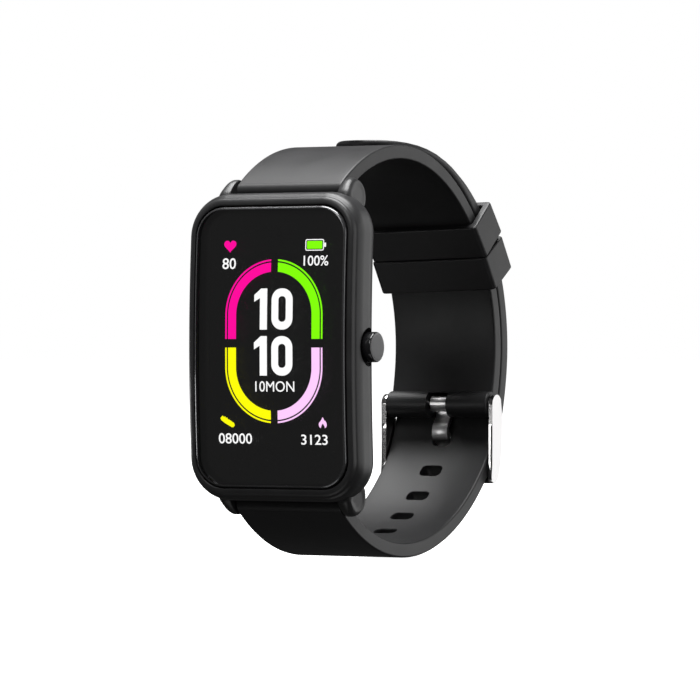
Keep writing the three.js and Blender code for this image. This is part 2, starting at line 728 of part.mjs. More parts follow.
function boreAcross(axis) {
  return rod(BAR.clearance, -STRAP_HALF_WIDTH - 1, STRAP_HALF_WIDTH + 1, axis, SMALL_ROUND);
}

function strapUpper() {
  const section = bandSection(STRAP_HALF_WIDTH, 0, STRAP_THICKNESS, STRAP_BEVEL);
  const body = join(
    band(shortPath, section),
    rod(STRAP_BARREL, -STRAP_HALF_WIDTH, STRAP_HALF_WIDTH, LUG_BAR),
    rod(BUCKLE_BARREL, -STRAP_HALF_WIDTH, STRAP_HALF_WIDTH, BUCKLE_BAR),
  );
  const { y, z } = BUCKLE_BAR;
  const { halfWidth, reach, top } = PRONG_NOTCH;
  return cut(
    body,
    boreAcross(LUG_BAR),
    boreAcross(BUCKLE_BAR),
    block([-halfWidth, y - reach, z - reach], [halfWidth, y + reach, z + top]),
  );
}

function distanceAlong(path, { arc, angle }) {
  const before = path.slice(0, path.indexOf(arc)).reduce((sum, earlier) => sum + arcLength(earlier), 0);
  return before + arc.radius * THREE.MathUtils.degToRad(arc.from - angle);
}

function alongPath(path, distance) {
  let left = distance;
  const arc = path.find((candidate) => {
    const inside = left <= arcLength(candidate);
    left -= inside ? 0 : arcLength(candidate);
    return inside;
  });
  return { arc, angle: arc.from - THREE.MathUtils.radToDeg(left / arc.radius) };
}

// Section of the long strap at a distance from its free end, which is narrowed and thinned.
function longSection(distance) {
  const left = Math.max(0, 1 - distance / TIP_LENGTH);
  const halfWidth = STRAP_HALF_WIDTH * Math.sqrt(1 - left ** 2);
  const grown = Math.min(1, distance / TAPER_LENGTH);
  const thickness = THREE.MathUtils.lerp(TIP_THICKNESS, STRAP_THICKNESS, grown);
  return bandSection(halfWidth, 0, thickness, Math.min(STRAP_BEVEL, thickness / 4));
}

function strapLower() {
  const tip = TIP_STATIONS.map((degrees) => alongPath(longPath, TIP_LENGTH * (1 - unit(degrees).x)));
  const rest = stationsOf(longPath).filter((station) => distanceAlong(longPath, station) > TIP_LENGTH + 1);
  const loops = [...tip, ...rest].map((station) => (
    bandLoop(station, longSection(distanceAlong(longPath, station)))
  ));
  const barrel = rod(STRAP_BARREL, -STRAP_HALF_WIDTH, STRAP_HALF_WIDTH, LOWER_LUG_BAR);
  return cut(join(skin(loops), barrel), boreAcross(LOWER_LUG_BAR), ...strapSlots());
}

function slotTool({ arc, angle }, halfLength) {
  const { halfWidth, corner } = SLOT;
  const [x, y] = [halfWidth - corner, halfLength - corner];
  const shape = new THREE.Shape();
  [[x, y, 0], [-x, y, 90], [-x, -y, 180], [x, -y, 270]].forEach(([cx, cy, start]) => {
    const from = THREE.MathUtils.degToRad(start);
    shape.absarc(cx, cy, corner, from, from + Math.PI / 2);
  });
  const margin = 0.5;
  const geometry = new THREE.ExtrudeGeometry(shape, {
    depth: STRAP_THICKNESS + 2 * margin,
    bevelEnabled: false,
    curveSegments: 1,
  });
  const outward = unit(angle);
  const place = onArc(arc, angle, -margin);
  const across = new THREE.Vector3(1, 0, 0);
  const along = new THREE.Vector3(0, outward.y, -outward.x);
  const normal = new THREE.Vector3(0, outward.x, outward.y);
  const matrix = new THREE.Matrix4().makeBasis(across, along, normal);
  return geometry.applyMatrix4(matrix.setPosition(0, place.y, place.z));
}

function strapSlots() {
  const overlapLength = overlapArcs.reduce((sum, arc) => sum + arcLength(arc), 0);
  const { pitch, before, after, halfLength } = SLOT;
  return Array.from({ length: before + after + 1 }, (_, i) => {
    const step = i - before;
    const station = alongPath(longPath, overlapLength + PRONG_SLOT.past + step * pitch);
    return slotTool(station, step === 0 ? PRONG_SLOT.halfLength : halfLength);
  });
}

// A strap keeper: a rectangular loop that follows the curve under it, so it can slide along the strap.
function keeper(arc, { from, to }) {
  const { halfWidth, wall, clearance, bevel, innerBevel } = KEEPER;
  const past = 4; // degrees that the cut runs past each end
  const stack = 2 * STRAP_THICKNESS + LAYER_GAP;
  const outside = bandSection(halfWidth, -clearance - wall, stack + clearance + wall, bevel);
  const inside = bandSection(halfWidth - wall, -clearance, stack + clearance, innerBevel);
  const hollow = band([{ ...arc, from: from + past, to: to - past }], inside);
  return cut(band([{ ...arc, from, to }], outside), hollow);
}

// Buckle: two side rails with round ends on the bar, and a crossbar outside the strap.
function buckleFrame() {
  const { y, z } = BUCKLE_BAR;
  const outline = [
    ...arcPoints(BUCKLE_BAR, RAIL.radius, 180, 0, SMALL_ROUND),
    ...RAIL_END.map(([depth, height]) => [y + depth, z + height]),
  ];
  const sides = [[RAIL.inner, RAIL.outer], [-RAIL.outer, -RAIL.inner]];
  const rails = sides.map(([x0, x1]) => prism(outline, x0, x1));
  const along = unit(CROSSBAR.tilt);
  const crossOutline = Array.from({ length: SMALL_ROUND }, (_, i) => {
    const around = unit((i / SMALL_ROUND) * 360);
    const [a, b] = [CROSSBAR.along * around.x, CROSSBAR.through * around.y];
    return [CROSSBAR.y + a * along.x - b * along.y, CROSSBAR.z + a * along.y + b * along.x];
  });
  const reach = (RAIL.inner + RAIL.outer) / 2;
  return cut(
    join(...rails, prism(crossOutline, -reach, reach)),
    rod(BAR.noseHole, -RAIL.outer - 1, RAIL.outer + 1, BUCKLE_BAR, SMALL_ROUND),
  );
}

// A bent strip of constant thickness along [y, z] points, as an outline.
function stripOutline(route, half) {
  const points = route.map(([y, z]) => new THREE.Vector2(y, z));
  const sides = points.map((point, i) => {
    const before = points[Math.max(i - 1, 0)];
    const after = points[Math.min(i + 1, points.length - 1)];
    const along = after.clone().sub(before).normalize();
    const normal = new THREE.Vector2(-along.y, along.x);
    return [half, -half].map((reach) => point.clone().addScaledVector(normal, reach));
  });
  const outline = [...sides.map(([left]) => left), ...sides.map(([, right]) => right).reverse()];
  return outline.map((point) => point.toArray());
}

function buckleProng() {
  const { halfWidth, ring, halfThickness } = PRONG;
  const shank = prism(stripOutline(PRONG_ROUTE, halfThickness), -halfWidth, halfWidth);
  return cut(
    join(rod(ring, -halfWidth, halfWidth, BUCKLE_BAR), shank),
    rod(BAR.clearance, -2 * halfWidth, 2 * halfWidth, BUCKLE_BAR),
  );
}

// Assembly

const watch = new THREE.Group();
watch.position.y = -WRIST_DEPTH;

const caseGroup = new THREE.Group();
caseGroup.add(
  part("case_frame", caseFrame(), CASE_BLACK),
  part("cover_glass", coverGlass(), GLASS_BLACK),
  part("glass_gasket", glassGasket(), GASKET_BLACK),
  part("display_panel", plate(PANEL), SCREEN),
  part("display_flex", displayFlex(), FLEX_AMBER),
  part("inner_chassis", chassis(), CHASSIS_GREY),
  part("main_board", mainBoard(), BOARD_GREEN),
  part("processor_shield", processorShield(), CELL_SILVER),
  part("battery", battery(), CELL_SILVER),
  part("vibration_motor", vibrationMotor(), CELL_SILVER),
  part("antenna_strip", antennaStrip(), GOLD),
  part("rear_cover", rearCover(), COVER_BLACK),
  part("rear_gasket", rearGasket(), GASKET_BLACK),
  part("sensor_board", sensorBoard(), BOARD_GREEN),
  part("sensor_window", sensorWindow(), SENSOR_DARK),
  part("sensor_lamp_left", sensorLamp(-1), LAMP_GREEN),
  part("sensor_lamp_right", sensorLamp(1), LAMP_GREEN),
  part("sensor_photodiode", sensorPhotodiode(), SENSOR_DARK),
  part("charge_contact_left", chargeContact(-1), GOLD),
  part("charge_contact_right", chargeContact(1), GOLD),
  part("charge_magnet_left", chargeMagnet(-1), CELL_SILVER),
  part("charge_magnet_right", chargeMagnet(1), CELL_SILVER),
  ...screwPlaces().map(([x, z], i) => part(`cover_screw_${i + 1}`, coverScrew(x, z), STEEL)),
);

const buttonGroup = new THREE.Group();
buttonGroup.add(
  part("side_button", button(), BUTTON_BLACK),
  part("button_clip", buttonClip(), SPRING_STEEL),
  part("button_seal", buttonSeal(), GASKET_BLACK),
  part("button_switch", buttonSwitch(), CELL_SILVER),
  part("button_flex", block(...BUTTON_FLEX), FLEX_AMBER),
);

const strapGroup = new THREE.Group();
strapGroup.add(
  part("strap_upper", strapUpper(), SILICONE),
  part("strap_lower", strapLower(), SILICONE),
  part("keeper_upper", keeper(loopArcs[1], KEEPER_UPPER), SILICONE),
  part("keeper_lower", keeper(loopArcs[2], KEEPER_LOWER), SILICONE),
  part("buckle_frame", buckleFrame(), STEEL),
  part("buckle_prong", buckleProng(), STEEL),
  ...springBar("upper", LUG_BAR, LUG_BAR_ENDS),
  ...springBar("lower", LOWER_LUG_BAR, LUG_BAR_ENDS),
  ...springBar("buckle", BUCKLE_BAR, BUCKLE_BAR_ENDS),
);

watch.add(caseGroup, buttonGroup, strapGroup);

export default watch;
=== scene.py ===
"""A smartwatch on a closed silicone strap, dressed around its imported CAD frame. Lengths are in millimetres
until a mesh is made. Depth is measured from the crown of the front glass towards the wrist."""

import json
import math

import bmesh
import bpy
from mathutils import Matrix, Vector


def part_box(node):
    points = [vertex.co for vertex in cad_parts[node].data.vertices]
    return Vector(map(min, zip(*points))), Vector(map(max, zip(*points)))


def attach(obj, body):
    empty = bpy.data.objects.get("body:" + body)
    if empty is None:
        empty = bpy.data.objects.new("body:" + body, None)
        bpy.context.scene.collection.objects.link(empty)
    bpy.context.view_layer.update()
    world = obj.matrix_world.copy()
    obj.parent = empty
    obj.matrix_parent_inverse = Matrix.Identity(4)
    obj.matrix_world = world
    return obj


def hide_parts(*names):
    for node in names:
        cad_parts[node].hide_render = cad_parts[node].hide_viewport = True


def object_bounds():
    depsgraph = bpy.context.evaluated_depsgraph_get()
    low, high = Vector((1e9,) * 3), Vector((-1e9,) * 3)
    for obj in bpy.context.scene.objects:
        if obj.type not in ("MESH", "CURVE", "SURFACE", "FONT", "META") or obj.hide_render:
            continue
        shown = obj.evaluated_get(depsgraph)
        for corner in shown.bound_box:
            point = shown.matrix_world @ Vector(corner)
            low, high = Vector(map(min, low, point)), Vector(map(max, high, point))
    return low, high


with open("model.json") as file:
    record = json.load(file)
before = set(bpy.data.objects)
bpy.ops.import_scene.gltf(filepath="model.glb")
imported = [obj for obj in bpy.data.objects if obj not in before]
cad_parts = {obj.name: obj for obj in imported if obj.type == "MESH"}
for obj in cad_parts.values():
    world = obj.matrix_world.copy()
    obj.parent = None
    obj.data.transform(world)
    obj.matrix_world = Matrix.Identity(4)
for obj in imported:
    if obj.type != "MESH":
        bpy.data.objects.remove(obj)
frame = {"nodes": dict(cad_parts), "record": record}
CAD_BOX = [list(corner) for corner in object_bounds()]

MM = 0.001
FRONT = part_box("cover_glass")[0].y / MM


def axis_of(node):
    """Depth and height of the middle of a node that lies along X."""
    low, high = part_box(node)
    middle = (low + high) / 2 / MM
    return middle.y - FRONT, middle.z


# Places and sizes that the frame gives
CASE_HALF_WIDTH = -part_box("case_frame")[0].x / MM
GLASS_HALF_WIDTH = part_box("cover_glass")[1].x / MM
GLASS_HALF_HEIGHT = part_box("cover_glass")[1].z / MM
STRAP_HALF_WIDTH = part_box("strap_upper")[1].x / MM
UPPER_BAR = axis_of("upper_bar_tube")
LOWER_BAR = axis_of("lower_bar_tube")
BUCKLE_BAR = axis_of("buckle_bar_tube")
BUTTON_DEPTH = axis_of("side_button")[0]
BUTTON_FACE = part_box("side_button")[1].x / MM
BUTTON_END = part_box("side_button")[0].x / MM

# Case
CASE_HALF_HEIGHT = 23.0
CASE_CORNER = 6.3
ARCH_RADIUS = 240.0
GLASS_CORNER = 4.5
GLASS_BACK = 1.4
SIDE_TO_END = 1.153  # the bezel is this much wider at the ends than at the sides
# The bezel from the opening out to the side, as (inset at a side, depth)
BEZEL = [
    (1.63, 1.75), (1.63, 0.42), (1.61, 0.36), (1.56, 0.32), (1.48, 0.3), (1.36, 0.295),
    (1.17, 0.305), (1.02, 0.345), (0.89, 0.41), (0.79, 0.49), (0.71, 0.6), (0.665, 0.73),
    (0.635, 0.86), (0.595, 0.965), (0.53, 1.045), (0.43, 1.12), (0.31, 1.25), (0.2, 1.45),
    (0.11, 1.72), (0.045, 2.05), (0.01, 2.35), (0.0, 2.6), (0.0, 3.95),
]
REAR_RADIUS = 5.0
REAR_START = 3.95
REAR_SWEEP = 50
REAR_EDGE = [(1.86, 7.84), (1.95, 7.9), (2.12, 7.9), (2.25, 7.8)]
POCKET_INSET = 2.25
POCKET_DEPTH = 7.2
INNER_INSET = 3.35
CORNER_STEPS = 16
SIDE_STEPS = 24

LUG_INNER = 9.2
LUG_OUTER = 11.6
LUG_TOP_OUTER = 10.7
# A lug seen from the side, as (depth, height), from its front foot over its tip to its rear foot
LUG_OUTLINE = [
    (4.7, 20.4), (4.35, 21.7), (4.45, 22.95), (5.25, 23.95), (6.3, 24.8), (7.4, 25.22), (8.5, 25.15),
    (9.5, 24.65), (10.05, 23.8), (10.1, 22.8), (9.85, 21.9), (9.3, 21.0), (8.6, 20.4),
]
LUG_CENTRE = (7.3, 22.7)
LUG_ROUNDING = 0.75
LEAN_START = 21.2
LEAN_LENGTH = 4.2
BAR_CHANNEL = 2.25
NOSE_HOLE = 0.55
NOSE_HOLE_REACH = 10.8
SCREW_HOLE = 0.7
SCREW_HOLE_START = 4.6
# Round solids, as (radius, where they start, where they end)
SCREW_POST = (1.6, 4.0, 7.85)
STEM_HOLE = (0.88, 8, 14)
SEAL_GROOVE = (1.35, 11.9, 12.5)
BUTTON_RECESS = [(13.0, 2.8), (14.52, 2.8), (14.75, 3.02), (16.0, 3.02)]  # (x, radius)
BEHIND_CASE = 11  # a depth that is past the whole case

# Strap
STRAP_THICKNESS = 2.2
LAYER_GAP = 0.2
STRAP_START = (8.64, 23.35)
STRAP_START_ANGLE = 124.0
# Arcs of (radius, sweep in degrees), from the upper lugs round to the lower ones
UPPER_ARCS = [(31, 60), (34, 28.6), (25, 43.3), (37.5, 15.2)]
LOWER_ARCS = [(17, 20.8), (36.4, 33.9), (32.3, 23.4), (30.5, 28.6)]
SHORT_END_SWEEP = 8.9
TIP_START_ANGLE = 88.0
TIP_LENGTH = 18.0
TAPER_LENGTH = 21.0
TIP_THICKNESS = 0.8
TIP_ANGLES = (4, 10, 16, 23, 30, 38, 46, 54, 62, 70, 78, 84, 90)  # of its sections, round its ellipse
TIP_SQUARING = 12.0  # past the tip, the length over which the section gets its full shape
TIP_SLIMMING = 0.35  # taken off half the width near the tip, growing in over SLIMMING_LENGTH
SLIMMING_START = 6
SLIMMING_LENGTH = 8
LEAST_HALF_WIDTH = 0.35
STATION_LENGTH = 1.1
EDGE_ROUNDING = 0.32
FULL_ROUND = 2.05  # a thickness over its largest rounding: more than 2, so that two never meet
BAR_BORE = 0.85
BUCKLE_BARREL = 2.1
BARREL_ROUNDING = 0.25
BARREL_MARGIN = 0.02
BARREL_SINK = 0.012
PRONG_GAP = (1.8, 4, 1.9)  # half its width, how far it reaches, and its top above the bar
FIRST_SLOT = 1.15
SLOT_PITCH = 6.0
SLOT_NUMBERS = range(-7, 6)  # counted from the prong's slot, towards the lugs
SLOT_HALF = (1.84, 1.08)
SLOT_CORNER = 0.8
SLOT_FLARE = 0.07
SLOT_OVERSHOOT = 0.4
PRONG_SLOT = (0.88, 1.5, 1.22)  # its place past the overlap, half its width and half its length

WELD_DISTANCE = 1e-7  # in metres
CREASE = 32  # degrees, for shading
SHARP_EDGE = 40  # degrees, for bevels


# Basic geometry


def spot(x, depth, z):
    return Vector((x, FRONT + depth, z)) * MM


def unit(degrees):
    return math.cos(math.radians(degrees)), math.sin(math.radians(degrees))


def lerp(a, b, t):
    return a + (b - a) * t


def ramp(value, start, length):
    """How far a value has come over a length that begins at start, from 0 to 1."""
    return min(1.0, max(0.0, (value - start) / length))


def arch(z):
    """How much deeper the arched front is at a height than at its crown."""
    return ARCH_RADIUS - math.sqrt(ARCH_RADIUS ** 2 - z ** 2)


def arc_points(centre, radius, start, end, steps):
    return [
        (centre[0] + radius * unit(lerp(start, end, i / steps))[0],
         centre[1] + radius * unit(lerp(start, end, i / steps))[1])
        for i in range(steps + 1)
    ]


def rounded_box(x0, x1, z0, z1, corner, steps=8):
    corners = [(x1 - corner, z1 - corner, 0), (x0 + corner, z1 - corner, 90),
               (x0 + corner, z0 + corner, 180), (x1 - corner, z0 + corner, 270)]
    return [p for x, z, start in corners for p in arc_points((x, z), corner, start, start + 90, steps)]


def smooth_line(points, steps=6):
    """A Catmull-Rom curve through points."""
    made = []
    ends = [points[0], *points, points[-1]]
    for a, b, c, d in zip(ends, ends[1:], ends[2:], ends[3:]):
        for i in range(steps):
            t = i / steps
            made.append(tuple(
                0.5 * (2 * b[k] + (c[k] - a[k]) * t + (2 * a[k] - 5 * b[k] + 4 * c[k] - d[k]) * t ** 2
                       + (3 * b[k] - a[k] - 3 * c[k] + d[k]) * t ** 3) for k in range(2)
            ))
    return [*made, tuple(points[-1])]


def ladder(first, count):
    """Closes a loop that is symmetric about X = 0 with a ladder of faces between its two halves."""
    half = count // 2
    rungs = [(i, i + 1, count - i - 1, count - i) for i in range(2, half - 2)]
    ends = [(0, 1, 2, count - 2, count - 1), (half - 2, half - 1, half, half + 1, half + 2)]
    return [tuple(first + k for k in face) for face in rungs + ends]


def skin(loops, ring=False, caps=ladder):
    """Points and faces of a surface through loops of equally many points."""
    count = len(loops[0])
    faces = []
    for k in range(len(loops) if ring else len(loops) - 1):
        here, there = k * count, (k + 1) % len(loops) * count
        for i in range(count):
            j = (i + 1) % count
            faces.append((here + i, here + j, there + j, there + i))
    if not ring:
        faces += caps(0, count) + caps((len(loops) - 1) * count, count)
    return [point for loop in loops for point in loop], faces


def whole_face(first, count):
    return [tuple(range(first, first + count))]


def linked(name, data):
    thing = bpy.data.objects.new(name, data)
    bpy.context.scene.collection.objects.link(thing)
    return thing


def weld(mesh):
    """Joins points that coincide and turns every face outwards."""
    shape = bmesh.new()
    shape.from_mesh(mesh)
    bmesh.ops.remove_doubles(shape, verts=shape.verts, dist=WELD_DISTANCE)
    bmesh.ops.recalc_face_normals(shape, faces=shape.faces)
    shape.to_mesh(mesh)
    shape.free()


def raw_object(name, points, faces):
    mesh = bpy.data.meshes.new(name)
    mesh.from_pydata([tuple(p) for p in points], [], faces)
    weld(mesh)
    return linked(name, mesh)


def solid(name, loops):
    """An object through loops of points, closed by one face at each end."""
    return raw_object(name, *skin(loops, caps=whole_face))


def settled_mesh(thing):
    """A new mesh with an object's modifiers worked into it."""
    graph = bpy.context.evaluated_depsgraph_get()
    return bpy.data.meshes.new_from_object(thing.evaluated_get(graph))


def settle(thing):
    """Turns an object's modifiers into its mesh."""
    mesh = settled_mesh(thing)
    thing.modifiers.clear()
    thing.data = mesh


def combine(thing, tools, operation):
    """Joins tools to an object or cuts them out of it, and removes them."""
    for tool in tools:
        step = thing.modifiers.new("join", "BOOLEAN")
        step.operation = operation
        step.solver = "EXACT"
        step.object = tool
    settle(thing)
    for tool in tools:
        bpy.data.objects.remove(tool)


def soften(thing, width, segments=2):
    step = thing.modifiers.new("edges", "BEVEL")
    step.width = width * MM
    step.segments = segments
    step.limit_method = "ANGLE"
    step.angle_limit = math.radians(SHARP_EDGE)
    step.use_clamp_overlap = True
    settle(thing)


def finished(thing, name, body, materials, replaced=()):
    """Shades a piece, dresses it and hangs it on its body."""
    thing.name = name
    thing.data.name = name
    thing.data.materials.clear()
    for material in materials:
        thing.data.materials.append(material)
    thing.data.shade_smooth()
    thing.data.set_sharp_from_angle(angle=math.radians(CREASE))
    step = thing.modifiers.new("normals", "WEIGHTED_NORMAL")
    step.keep_sharp = True
    settle(thing)
    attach(thing, body)
    if replaced:
        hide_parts(*replaced)
    return thing


def rod(radius, x0, x1, axis, sides=48):
    """A cylinder along X."""
    loops = [
        [spot(x, *point) for point in arc_points(axis, radius, 0, 360, sides)[:-1]]
        for x in (x0, x1)
    ]
    return solid("rod", loops)


def post(radius, depth0, depth1, x, z, sides=48):
    """A cylinder along the depth."""
    loops = [
        [spot(px, depth, pz) for px, pz in arc_points((x, z), radius, 0, 360, sides)[:-1]]
        for depth in (depth0, depth1)
    ]
    return solid("post", loops)


def block(low, high):
    corners = ((low[0], low[2]), (high[0], low[2]), (high[0], high[2]), (low[0], high[2]))
    loops = [[spot(x, depth, z) for x, z in corners] for depth in (low[1], high[1])]
    return solid("block", loops)


def lathe_loops(profile, place, sides):
    """Rings of (position along the axis, radius) pairs, each turned by place(position, a, b)."""
    return [
        [place(along, radius * unit(360 * i / sides)[0], radius * unit(360 * i / sides)[1])
         for i in range(sides)]
        for along, radius in profile
    ]


def turned_x(profile, axis, sides=72):
    """A solid turned about an axis along X, from (x, radius) pairs."""
    def place(x, a, b):
        return spot(x, axis[0] + a, axis[1] + b)
    return solid("turned", lathe_loops(profile, place, sides))


def turned_depth(profile, x, z, sides=72):
    """A solid turned about an axis along the depth, from (depth, radius) pairs."""
    def place(depth, a, b):
        return spot(x + a, depth, z + b)
    return solid("turned", lathe_loops(profile, place, sides))


# Finishes: every one is a node material in the row frame's own coordinates

NOISE_LOW, NOISE_HIGH = 0.3, 0.7  # nearly all of a noise texture lies between these
DIAL_STRENGTH = 1.7


def new_material(name):
    material = bpy.data.materials.new(name)
    material.use_nodes = True
    return material, material.node_tree.nodes, material.node_tree.links


def put(node, name, value):
    node.inputs[name].default_value = value


def noise(nodes, links, place, scale, detail):
    made = nodes.new("ShaderNodeTexNoise")
    put(made, "Scale", scale)
    put(made, "Detail", detail)
    links.new(place, made.inputs["Vector"])
    return made


def finish(name, colour, roughness, grain, grain_depth, metallic=0.0, mottle=0.12, mottle_scale=220.0,
           rough_spread=0.06, stretch=(1, 1, 1), coat=0.0, painted_glow=0.0):
    """A surface with a fine grain in its relief and faint blotches in its colour and gloss."""
    material, nodes, links = new_material(name)
    shader = nodes["Principled BSDF"]
    put(shader, "Metallic", metallic)
    put(shader, "Coat Weight", coat)
    put(shader, "Coat Roughness", 0.08)
    put(shader, "Emission Color", (1, 1, 1, 1))
    put(shader, "Emission Strength", painted_glow)

    place = nodes.new("ShaderNodeTexCoord")
    stretched = nodes.new("ShaderNodeMapping")
    put(stretched, "Scale", stretch)
    links.new(place.outputs["Object"], stretched.inputs["Vector"])

    broad = noise(nodes, links, place.outputs["Object"], mottle_scale, 6)
    shades = nodes.new("ShaderNodeValToRGB")
    shades.color_ramp.elements[0].position = NOISE_LOW
    shades.color_ramp.elements[1].position = NOISE_HIGH
    shades.color_ramp.elements[0].color = [c * (1 - mottle) for c in colour] + [1]
    shades.color_ramp.elements[1].color = [min(1, c * (1 + mottle)) for c in colour] + [1]
    links.new(broad.outputs["Fac"], shades.inputs["Fac"])
    links.new(shades.outputs["Color"], shader.inputs["Base Color"])

    fine = noise(nodes, links, stretched.outputs["Vector"], grain, 3)
    both = nodes.new("ShaderNodeMix")
    both.data_type = "FLOAT"
    put(both, "Factor", 0.5)
    links.new(broad.outputs["Fac"], both.inputs["A"])
    links.new(fine.outputs["Fac"], both.inputs["B"])
    spread = nodes.new("ShaderNodeMapRange")
    put(spread, "From Min", NOISE_LOW)
    put(spread, "From Max", NOISE_HIGH)
    put(spread, "To Min", max(0.0, roughness - rough_spread))
    put(spread, "To Max", roughness + rough_spread)
    links.new(both.outputs["Result"], spread.inputs["Value"])
    links.new(spread.outputs["Result"], shader.inputs["Roughness"])

    bump = nodes.new("ShaderNodeBump")
    put(bump, "Strength", 1.0)
    put(bump, "Distance", grain_depth * MM)
    links.new(fine.outputs["Fac"], bump.inputs["Height"])
    links.new(bump.outputs["Normal"], shader.inputs["Normal"])
    return material


def clear_pane(name, tint, clearness):
    """A dark pane that shows what lies under it and mirrors the room by its angle."""
    material, nodes, links = new_material(name)
    nodes.remove(nodes["Principled BSDF"])
    output = nodes["Material Output"]
    place = nodes.new("ShaderNodeTexCoord")
    smudge = noise(nodes, links, place.outputs["Object"], 90, 5)
    rough = nodes.new("ShaderNodeMapRange")
    put(rough, "To Min", 0.02)
    put(rough, "To Max", 0.07)
    links.new(smudge.outputs["Fac"], rough.inputs["Value"])
    through = nodes.new("ShaderNodeBsdfTransparent")
    put(through, "Color", (*clearness, 1))
    body = nodes.new("ShaderNodeBsdfDiffuse")
    put(body, "Color", (*tint, 1))
    gloss = nodes.new("ShaderNodeBsdfGlossy")
    links.new(rough.outputs["Result"], gloss.inputs["Roughness"])
    inner = nodes.new("ShaderNodeMixShader")
    put(inner, "Fac", 0.15)
    links.new(through.outputs["BSDF"], inner.inputs[1])
    links.new(body.outputs["BSDF"], inner.inputs[2])
    angle = nodes.new("ShaderNodeFresnel")
    put(angle, "IOR", 1.5)
    outer = nodes.new("ShaderNodeMixShader")
    links.new(angle.outputs["Fac"], outer.inputs["Fac"])
    links.new(inner.outputs["Shader"], outer.inputs[1])
    links.new(gloss.outputs["BSDF"], outer.inputs[2])
    links.new(outer.outputs["Shader"], output.inputs["Surface"])
    return material


def lit(name, colour):
    """A lit part of the display, with the faint unevenness of its backlight."""
    material, nodes, links = new_material(name)
    shader = nodes["Principled BSDF"]
    put(shader, "Roughness", 0.4)
    put(shader, "Base Color", (0, 0, 0, 1))
    put(shader, "Emission Strength", DIAL_STRENGTH)
    place = nodes.new("ShaderNodeTexCoord")
    uneven = noise(nodes, links, place.outputs["Object"], 400, 2)
    shades = nodes.new("ShaderNodeValToRGB")
    shades.color_ramp.elements[0].color = [c * 0.97 for c in colour] + [1]
    shades.color_ramp.elements[1].color = [*colour, 1]
    links.new(uneven.outputs["Fac"], shades.inputs["Fac"])
    links.new(shades.outputs["Color"], shader.inputs["Emission Color"])
    return material


CASE_BLACK = finish("case_black", (0.035, 0.035, 0.036), 0.36, grain=9000, grain_depth=0.003)
COVER_BLACK = finish("cover_black", (0.026, 0.026, 0.028), 0.4, grain=7000, grain_depth=0.004)
SILICONE = finish("silicone", (0.018, 0.018, 0.019), 0.44, grain=6000, grain_depth=0.004,
                  mottle=0.18, rough_spread=0.05)
STEEL = finish("steel", (0.83, 0.82, 0.82), 0.13, metallic=1, mottle=0.02, grain=2500,
               grain_depth=0.0006, stretch=(0.2, 1, 1), rough_spread=0.04)
BRUSHED_STEEL = finish("brushed_steel", (0.86, 0.85, 0.85), 0.36, metallic=1, mottle=0.04, grain=2500,
                       grain_depth=0.0012, stretch=(0.15, 1, 1), rough_spread=0.05)
SPRING_STEEL = finish("spring_steel", (0.5, 0.5, 0.52), 0.3, metallic=1, mottle=0.05,
                      grain=3000, grain_depth=0.001, stretch=(0.1, 1, 1))
BUTTON_GLOSS = finish("button_gloss", (0.012, 0.012, 0.013), 0.14, grain=8000, grain_depth=0.0008,
                      rough_spread=0.03, coat=0.6)
BUTTON_CAP = finish("button_cap", (0.17, 0.17, 0.173), 0.5, grain=9000, grain_depth=0.004)
# Painted light: the screen and the border glow faintly, standing in for the room mirrored in the front
# glass.
SCREEN = finish("screen", (0.0065, 0.0065, 0.0068), 0.3, grain=12000, grain_depth=0.0004, painted_glow=0.011)
BORDER = finish("border", (0.0065, 0.0065, 0.0068), 0.35, grain=9000, grain_depth=0.0005, painted_glow=0.011)
GASKET = finish("gasket", (0.008, 0.008, 0.008), 0.85, grain=7000, grain_depth=0.01)
CHASSIS = finish("chassis", (0.45, 0.46, 0.48), 0.55, metallic=0.9, grain=6000, grain_depth=0.006)
BOARD = finish("board", (0.02, 0.11, 0.06), 0.45, grain=1500, grain_depth=0.006, mottle=0.3,
               mottle_scale=900)
FLEX = finish("flex", (0.42, 0.18, 0.04), 0.4, grain=3000, grain_depth=0.002, mottle=0.2)
CAN = finish("can", (0.6, 0.61, 0.62), 0.35, metallic=1, grain=2500, grain_depth=0.002,
             stretch=(0.15, 1, 1))
GOLD = finish("gold", (0.86, 0.62, 0.26), 0.2, metallic=1, mottle=0.04, grain=3000,
              grain_depth=0.0008)
LAMP = finish("lamp", (0.35, 0.75, 0.4), 0.3, grain=4000, grain_depth=0.002)
PANE = clear_pane("pane", (0.004, 0.004, 0.0045), (0.96, 0.96, 0.96))
GLASS_RIM = finish("glass_rim", (0.16, 0.16, 0.165), 0.22, metallic=0.75, mottle=0.05, grain=4000,
                   grain_depth=0.0004, rough_spread=0.04)
SENSOR_PANE = clear_pane("sensor_pane", (0.004, 0.004, 0.005), (0.45, 0.45, 0.47))
SLOT_FINISHES = {
    "case": CASE_BLACK,
    "cover_glass": PANE,
    "display": SCREEN,
    "gasket": GASKET,
    "silicone": SILICONE,
    "steel": STEEL,
    "spring_steel": SPRING_STEEL,
    "button": BUTTON_GLOSS,
    "chassis": CHASSIS,
    "board": BOARD,
    "flex": FLEX,
    "can": CAN,
    "gold": GOLD,
    "rear_cover": COVER_BLACK,
    "sensor_glass": SENSOR_PANE,
    "lamp": LAMP,
}


def dress_frame():
    """Gives each CAD node the finish of its material slot."""
    for subpart in frame["record"]["subparts"]:
        node = frame["nodes"][subpart["node"]]
        node.data.materials.clear()
        node.data.materials.append(SLOT_FINISHES[subpart["material_slot"]])


# Case


def rounded_half(width, height, corner):
    top = arc_points((width - corner, height - corner), corner, 90, 0, CORNER_STEPS)
    bottom = arc_points((width - corner, corner - height), corner, 0, -90, CORNER_STEPS)
    side = [
        (width, lerp(height - corner, corner - height, (i + 1) / SIDE_STEPS))
        for i in range(SIDE_STEPS - 1)
    ]
    return [(0, height), *top, *side, *bottom, (0, -height)]


